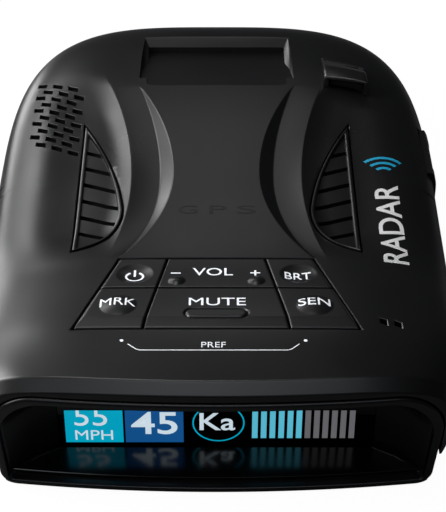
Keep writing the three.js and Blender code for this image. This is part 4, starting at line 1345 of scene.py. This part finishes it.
# ------------------------------------------------------------------ vents
def build_vent(side, name):
    x = side * np.linspace(16, 28.5, 60)
    y = np.linspace(-26, 23, 160)
    gx, gy = np.meshgrid(x, y)
    z = top_height(gx, gy)
    sheet = lambda lift: np.stack([gx, gy, z + lift], -1)
    vent = shell(name, sheet(-0.3), sheet(-2.4))
    boolean(vent, prism("outline", vent_outline(side, -0.5), 8, 32), "INTERSECT")
    half = bpy.context.scene.radar_case.groove_width * 500
    groove = block("groove", (0, -half, 18), (9.6, half, 24), 0.12)
    for vert in groove.data.vertices:
        vert.co.y -= SLANT * vert.co.x
        vert.co.x *= side
    if side < 0:
        groove.data.flip_normals()
    start = (side * 17.6, 10.8 + (26.3 - 17.6) * SLANT, 0)
    pattern(groove, columns=1, rows=6, start=start, row_step=(0, -5.3, 0))
    boolean(vent, groove)
    rings = []
    for inset, lift in (
        (0.0, -2.4), (0.0, 0.1), (0.1, 0.28), (0.3, 0.36),
        (0.55, 0.34), (0.72, 0.2), (0.8, -0.05), (0.8, -2.4),
    ):
        outline = vent_outline(side, -inset)
        rings.append(np.column_stack([outline, top_height(*outline.T) + lift]))
    boolean(vent, loft("rim", rings, looped=True), "UNION")
    return piece(vent, satin_black(), replaces=[name.replace("_blades", "")])


# ------------------------------------------------------------------ rear detector
SENSOR_LEFT, SENSOR_RIGHT, SENSOR_TOP = 22.8, 31.9, 22.9
SENSOR_FACE, SENSOR_TAIL = (32.9, 30.6), (44.3, 41.2)


def sensor_well(inset):
    return [
        (24 + inset, 34.6 + inset), (30.7 - inset, 33.2 + inset),
        (30.7 - inset, 38.6 - inset), (24 + inset, 40 - inset),
    ]


def build_rear_detector():
    across = np.array([0, 0.015, 0.04, 0.08, 0.15, 0.3, 0.5, 0.7, 0.85, 0.92, 0.96, 0.985, 1])
    along = np.array([0, 0.01, 0.03, 0.06, 0.15, 0.25, 0.35, 0.5, 0.65, 0.8, 0.92, 1])
    u, v = np.meshgrid(across, along)
    x = mix(SENSOR_LEFT, SENSOR_RIGHT, u)
    face, tail = mix(*SENSOR_FACE, u), mix(*SENSOR_TAIL, u)
    y = mix(face, tail, v)
    foot = top_height(x, y) + GAP
    crown = SENSOR_TOP + 0.3 * (1 - (2 * u - 1) ** 2) - 0.25 - 1.0 * v**2
    fall = smooth(0.3, 1.0, v)
    edge = np.minimum(np.minimum(u, 1 - u) * 9.1, v * 11.5)
    fillet = 0.55 - np.sqrt(np.maximum(0.55**2 - (0.55 - np.minimum(edge, 0.55)) ** 2, 0))
    z = mix(crown, foot + 0.35, fall) - fillet
    upper = np.stack([x, y, np.maximum(z, foot + 0.1)], -1)
    hood = shell("rear_detector_hood", upper, np.stack([x, y, foot], -1))
    mouth = [
        (SENSOR_LEFT + 0.9, 28), (SENSOR_RIGHT - 0.9, 28),
        (SENSOR_RIGHT - 0.9, SENSOR_FACE[1] + 1.3), (SENSOR_LEFT + 0.9, SENSOR_FACE[0] + 1.3),
    ]
    spigot = prism("spigot", sensor_well(GAP), 16.6, 21.4)
    boolean(hood, spigot, "UNION")
    boolean(hood, prism("mouth", mouth, 8, SENSOR_TOP - 0.7))
    boolean(hood, prism("bore", sensor_well(1), 10, 21.2))
    boolean(hood, block("window", (25.6, 30, 18.6), (29.4, 36, 21.2)))
    piece(hood, gloss_satin(), replaces=["rear_sensor_hood"])
    inset, back = 1.25, 0.15
    outline = [
        (SENSOR_LEFT + inset, SENSOR_FACE[0] + back),
        (SENSOR_RIGHT - inset, SENSOR_FACE[1] + back),
        (SENSOR_RIGHT - inset, SENSOR_FACE[1] + back + 0.75),
        (SENSOR_LEFT + inset, SENSOR_FACE[0] + back + 0.75),
    ]
    ring = lambda z, by: np.column_stack([offset(outline, -by), np.full(4, z)])
    top = SENSOR_TOP - 1.05
    lens = loft("rear_detector_lens", [ring(20.6, 0.1), ring(20.7, 0), ring(top - 0.1, 0), ring(top, 0.1)])
    piece(lens, gloss_black(), replaces=["rear_sensor_lens"])


def gloss_satin():
    return material(
        "polished_black", grey(0.006), grey(0.009), 0.2, 0.27, drift=80, grain=1500, depth=0.002
    )


# ------------------------------------------------------------------ side sockets and window
def build_sockets():
    for name, port in PORTS.items():
        surround = shell("surround", *case_sheets(-0.6, SEAM_Z))
        boolean(surround, port_block("frame", port, port["frame"], 42.3, 50), "INTERSECT")
        boolean(surround, port_block("mouth", port, port["mouth"], 30, 50))
        surround.name = f"{name}_port_frame"
        piece(surround, satin_black(), replaces=[f"{name}_socket_surround"])
        socket = port_block(
            f"{name}_port_shell", port, port["mouth"], 42 - port["depth"], 42, PORT_WALL, 0.1
        )
        boolean(socket, port_block("bore", port, port["mouth"], 43.2 - port["depth"], 45))
        if name == "power":
            finish, slot = component_black(), "component_black"
            contacts = block("contacts", (0, -0.16, -0.16), (6.2, 0.16, 0.16), 0.05)
            pattern(contacts, columns=6, rows=1, column_step=(0, 1.02, 0),
                    start=(43 - port["depth"], port["y"] - 2.55, port["z"] + 1.9), material=plated_steel())
            piece(contacts, plated_steel())
        else:
            finish, slot = tin_plate(), "tin_plate"
            low = (-43.0 + 1.2, port["y"] - 2.9, port["z"] - 0.45)
            high = (-43.2 + port["depth"], port["y"] + 2.9, port["z"] + 0.45)
            insert = block("data_port_tongue", low, high, 0.1)
            piece(insert, component_black())
        piece(socket, finish, replaces=[f"{name}_socket"])


def build_window():
    heights = (WINDOW_LOW, WINDOW_LOW + 0.15, WINDOW_HIGH - 0.15, WINDOW_HIGH)
    rings = [case_outline(z, inset) for z, inset in zip(heights, (1.15, 1, 1, 1.15))]
    window = loft("windshield_window_panel", rings)
    boolean(window, loft("core", [case_outline(0, 2), case_outline(20, 2)]))
    boolean(window, block("reach", (-WINDOW_HALF, 58, 0), (WINDOW_HALF, 70, 20)), "INTERSECT")
    piece(window, gloss_black(), replaces=["windshield_window"])


# ------------------------------------------------------------------ inner parts and stage
def finish_inner_parts():
    """Gives every CAD part that still shows its procedural finish, by its material slot."""
    finishes = {**INNER_FINISHES, "satin_black": satin_black, "key_rubber": key_rubber}
    finishes |= {"gloss_black": gloss_black, "printed_label": printed_label}
    by_node = {part["node"]: part["material_slot"] for part in frame["record"]["subparts"]}
    for name, obj in frame["nodes"].items():
        if obj.hide_render:
            continue
        obj.data.materials.clear()
        obj.data.materials.append(finishes[by_node[name]]())


def floor_material():
    """Pale to the camera and dim in reflections, as paper under a black-flagged studio set."""
    mat = material("pale_floor", grey(0.8), grey(0.84), 0.8, 0.9, drift=8, grain=300, depth=0.01)
    nodes, link = mat.node_tree.nodes, mat.node_tree.links.new
    lit = nodes.new("ShaderNodeEmission")
    lit.inputs["Color"].default_value = (1, 1, 1, 1)
    lit.inputs["Strength"].default_value = 1.05
    flagged = nodes.new("ShaderNodeBsdfDiffuse")
    flagged.inputs["Color"].default_value = (0.15, 0.15, 0.155, 1)
    seen = nodes.new("ShaderNodeMixShader")
    seen.inputs["Fac"].default_value = 0.93
    choose = nodes.new("ShaderNodeMixShader")
    link(nodes["Principled BSDF"].outputs[0], seen.inputs[1])
    link(lit.outputs[0], seen.inputs[2])
    link(nodes.new("ShaderNodeLightPath").outputs["Is Camera Ray"], choose.inputs["Fac"])
    link(flagged.outputs[0], choose.inputs[1])
    link(seen.outputs[0], choose.inputs[2])
    link(choose.outputs[0], nodes["Material Output"].inputs["Surface"])
    return mat


CENTRE = Vector((0, 0, 0.013))
CAMERA_AIM = Vector((0, -0.0175, 0.0155))
CAMERA_TILT = 40
FLOOR_LEVEL = -0.2
WHITE, COOL = (1, 1, 1), (0.88, 0.93, 1)
# Name, azimuth and elevation in degrees, distance, width and height in metres, power and colour.
# The first rows were chosen by a fitting program, and most were then changed.
SOFTBOXES = (
    ("left_near_softbox", 90, 34, 0.156, 0.06, 0.08, 0.13, WHITE),
    ("left_softbox", 90, 34, 0.35, 0.2, 0.22, 0.75, WHITE),
    ("rear_softbox", 0, 38, 0.19, 0.06, 0.05, 0.007, WHITE),
    ("rear_left_softbox", 33, 30, 0.5, 0.2, 0.14, 0.42, WHITE),
    ("rear_high_softbox", 14, 50, 0.5, 0.16, 0.12, 0.02, WHITE),
    ("low_left_softbox", 35, 4, 0.5, 0.16, 0.12, 0.34, WHITE),
    ("top_softbox", 66, 80, 0.5, 0.2, 0.14, 0.42, WHITE),
    ("front_softbox", 180, 62, 0.5, 0.2, 0.12, 0.18, COOL),
    ("front_left_softbox", 150, 46, 0.5, 0.16, 0.12, 0.07, COOL),
)


def softbox(name, azimuth, elevation, distance, width, height, power, colour):
    """An area light aimed at the part; azimuth is from +Y towards -X, in degrees."""
    data = bpy.data.lights.new(name, "AREA")
    data.shape, data.size, data.size_y = "RECTANGLE", width, height
    data.energy, data.color = power, colour
    light = bpy.data.objects.new(name, data)
    a, e = math.radians(azimuth), math.radians(elevation)
    away = Vector((-math.sin(a) * math.cos(e), math.cos(a) * math.cos(e), math.sin(e)))
    light.location = CENTRE + away * distance
    light.rotation_euler = away.to_track_quat("Z", "Y").to_euler()
    light.visible_camera = False
    bpy.context.scene.collection.objects.link(light)
    return light


def build_stage():
    scene = bpy.context.scene
    setup = scene.radar_stage
    size = setup.floor_size / 2 / MM
    corners = [(x * size, y * size, FLOOR_LEVEL) for x, y in ((-1, -1), (1, -1), (1, 1), (-1, 1))]
    floor = new_object("floor", corners, [[0, 1, 2, 3]])
    floor.data.materials.append(floor_material())
    camera = bpy.data.objects.new("camera", bpy.data.cameras.new("camera"))
    camera.data.lens, camera.data.sensor_width = setup.lens, 36
    camera.data.shift_x = setup.shift
    camera.data.clip_start, camera.data.clip_end = 0.01, 20
    tilt = math.radians(CAMERA_TILT)
    camera.location = CAMERA_AIM - Vector((0, math.cos(tilt), -math.sin(tilt))) * setup.distance
    camera.rotation_euler = (math.pi / 2 - tilt, 0, 0)
    scene.collection.objects.link(camera)
    scene.camera = camera
    world = bpy.data.worlds.new("studio")
    world.use_nodes = True
    world.node_tree.nodes["Background"].inputs["Color"].default_value = (0.9, 0.95, 1, 1)
    world.node_tree.nodes["Background"].inputs["Strength"].default_value = setup.ambient
    scene.world = world
    scene.view_settings.view_transform = "Standard"
    for name, azimuth, elevation, distance, width, height, power, colour in SOFTBOXES:
        softbox(name, azimuth, elevation, distance, width, height, power * setup.light, colour)


# ------------------------------------------------------------------ settings
class RadarCaseSettings(bpy.types.PropertyGroup):
    """Sizes and colour of the case."""

    colour: bpy.props.FloatVectorProperty(
        name="Case Colour", description="Colour of the satin plastic", subtype="COLOR",
        size=3, min=0, max=1, default=(0.0045, 0.0046, 0.005),
    )
    slot_rows: bpy.props.IntProperty(
        name="Speaker Rows", description="Rows of speaker slots", default=10, min=1, max=10,
    )
    slot_length: bpy.props.FloatProperty(
        name="Slot Length", description="Length of a speaker slot", unit="LENGTH", default=0.00216,
    )
    slot_width: bpy.props.FloatProperty(
        name="Slot Width", description="Width of a speaker slot", unit="LENGTH", default=0.0015,
    )
    groove_width: bpy.props.FloatProperty(
        name="Groove Width", description="Width of a vent groove", unit="LENGTH", default=0.00124,
    )


class RadarKeySettings(bpy.types.PropertyGroup):
    """Colours of the keys."""

    colour: bpy.props.FloatVectorProperty(
        name="Key Colour", description="Colour of the key caps", subtype="COLOR",
        size=3, min=0, max=1, default=(0.006, 0.0061, 0.0067),
    )
    ink: bpy.props.FloatVectorProperty(
        name="Legend Colour", description="Colour of the printed legends", subtype="COLOR",
        size=3, min=0, max=1, default=(0.85, 0.87, 0.9),
    )


class RadarDisplaySettings(bpy.types.PropertyGroup):
    """Light of the display."""

    glow: bpy.props.FloatProperty(
        name="Glow", description="Brightness of the display's lit areas", default=1.0, min=0,
    )


class RadarStageSettings(bpy.types.PropertyGroup):
    """Camera and light."""

    lens: bpy.props.FloatProperty(
        name="Lens", description="Focal length of the camera in millimetres", default=119.53,
    )
    distance: bpy.props.FloatProperty(
        name="Distance", description="From the camera to the part", unit="LENGTH", default=0.325,
    )
    shift: bpy.props.FloatProperty(
        name="Shift", description="Sideways shift of the picture", default=0.0127,
    )
    floor_size: bpy.props.FloatProperty(
        name="Floor Size", description="Side of the square floor", unit="LENGTH", default=6.0,
    )
    light: bpy.props.FloatProperty(
        name="Light", description="Strength of every softbox", default=1.0, min=0,
    )
    ambient: bpy.props.FloatProperty(
        name="Ambient", description="Strength of the surrounding light", default=0.03, min=0,
    )


# ------------------------------------------------------------------ operators
class RADAR_OT_upper_case(bpy.types.Operator):
    """Builds the upper case with its openings and speaker slots"""

    bl_idname = "radar.upper_case"
    bl_label = "Upper Case"

    def execute(self, context):
        build_upper_case()
        return {"FINISHED"}


class RADAR_OT_lower_case(bpy.types.Operator):
    """Builds the lower case and its rating label"""

    bl_idname = "radar.lower_case"
    bl_label = "Lower Case"

    def execute(self, context):
        build_lower_case()
        return {"FINISHED"}


class RADAR_OT_case_screws(bpy.types.Operator):
    """Builds the four case screws"""

    bl_idname = "radar.case_screws"
    bl_label = "Case Screws"

    def execute(self, context):
        build_case_screws()
        return {"FINISHED"}


class RADAR_OT_display_hood(bpy.types.Operator):
    """Builds the hood round the display and the floor of its bay"""

    bl_idname = "radar.display_hood"
    bl_label = "Display Hood"

    def execute(self, context):
        build_display_hood()
        return {"FINISHED"}


class RADAR_OT_display(bpy.types.Operator):
    """Builds the lens and the lit readings behind it"""

    bl_idname = "radar.display"
    bl_label = "Display"

    def execute(self, context):
        build_display()
        return {"FINISHED"}


class RADAR_OT_keys(bpy.types.Operator):
    """Builds the six key caps"""

    bl_idname = "radar.keys"
    bl_label = "Keys"

    def execute(self, context):
        for name in KEYS:
            build_key(name)
        return {"FINISHED"}


class RADAR_OT_legends(bpy.types.Operator):
    """Builds the legends on the keys and the marks on the deck"""

    bl_idname = "radar.legends"
    bl_label = "Legends"

    def execute(self, context):
        build_key_legends()
        build_deck_marks()
        return {"FINISHED"}


class RADAR_OT_vents(bpy.types.Operator):
    """Builds the two louvred vents"""

    bl_idname = "radar.vents"
    bl_label = "Vents"

    def execute(self, context):
        build_vent(-1, "left_vent_louvre_blades")
        build_vent(1, "right_vent_louvre_blades")
        return {"FINISHED"}


class RADAR_OT_rear_detector(bpy.types.Operator):
    """Builds the hood and lens of the rear-facing detector"""

    bl_idname = "radar.rear_detector"
    bl_label = "Rear Detector"

    def execute(self, context):
        build_rear_detector()
        return {"FINISHED"}


class RADAR_OT_sockets(bpy.types.Operator):
    """Builds the power and data sockets in the sides"""

    bl_idname = "radar.sockets"
    bl_label = "Sockets"

    def execute(self, context):
        build_sockets()
        return {"FINISHED"}


class RADAR_OT_window(bpy.types.Operator):
    """Builds the dark window at the windshield end"""

    bl_idname = "radar.window"
    bl_label = "Windshield Window"

    def execute(self, context):
        build_window()
        return {"FINISHED"}


class RADAR_OT_inner_parts(bpy.types.Operator):
    """Finishes the electronics and other parts kept from the CAD model"""

    bl_idname = "radar.inner_parts"
    bl_label = "Inner Parts"

    def execute(self, context):
        finish_inner_parts()
        return {"FINISHED"}


class RADAR_OT_stage(bpy.types.Operator):
    """Builds the floor, the lights and the camera"""

    bl_idname = "radar.stage"
    bl_label = "Stage"

    def execute(self, context):
        build_stage()
        return {"FINISHED"}


OPERATORS = (
    RADAR_OT_upper_case,
    RADAR_OT_lower_case,
    RADAR_OT_case_screws,
    RADAR_OT_display_hood,
    RADAR_OT_display,
    RADAR_OT_keys,
    RADAR_OT_legends,
    RADAR_OT_vents,
    RADAR_OT_rear_detector,
    RADAR_OT_sockets,
    RADAR_OT_window,
    RADAR_OT_inner_parts,
    RADAR_OT_stage,
)


class RADAR_PT_sidebar(bpy.types.Panel):
    """Lists the steps that build the part."""

    bl_idname = "RADAR_PT_sidebar"
    bl_label = "Radar Detector"
    bl_space_type = "VIEW_3D"
    bl_region_type = "UI"
    bl_category = "Radar"

    def draw(self, context):
        for operator in OPERATORS:
            self.layout.operator(operator.bl_idname)
        for group in SETTINGS:
            settings = getattr(context.scene, group)
            box = self.layout.box()
            for prop in settings.bl_rna.properties:
                if not prop.is_readonly and prop.identifier != "name":
                    box.prop(settings, prop.identifier)


SETTINGS = {
    "radar_case": RadarCaseSettings,
    "radar_keys": RadarKeySettings,
    "radar_display": RadarDisplaySettings,
    "radar_stage": RadarStageSettings,
}
CLASSES = (*SETTINGS.values(), *OPERATORS, RADAR_PT_sidebar)


def register():
    for cls in CLASSES:
        bpy.utils.register_class(cls)
    for name, cls in SETTINGS.items():
        setattr(bpy.types.Scene, name, bpy.props.PointerProperty(type=cls))


def unregister():
    for name in SETTINGS:
        delattr(bpy.types.Scene, name)
    for cls in reversed(CLASSES):
        bpy.utils.unregister_class(cls)


def main():
    register()
    for operator in OPERATORS:
        group, name = operator.bl_idname.split(".")
        getattr(getattr(bpy.ops, group), name)()


if __name__ == "__main__":
    main()
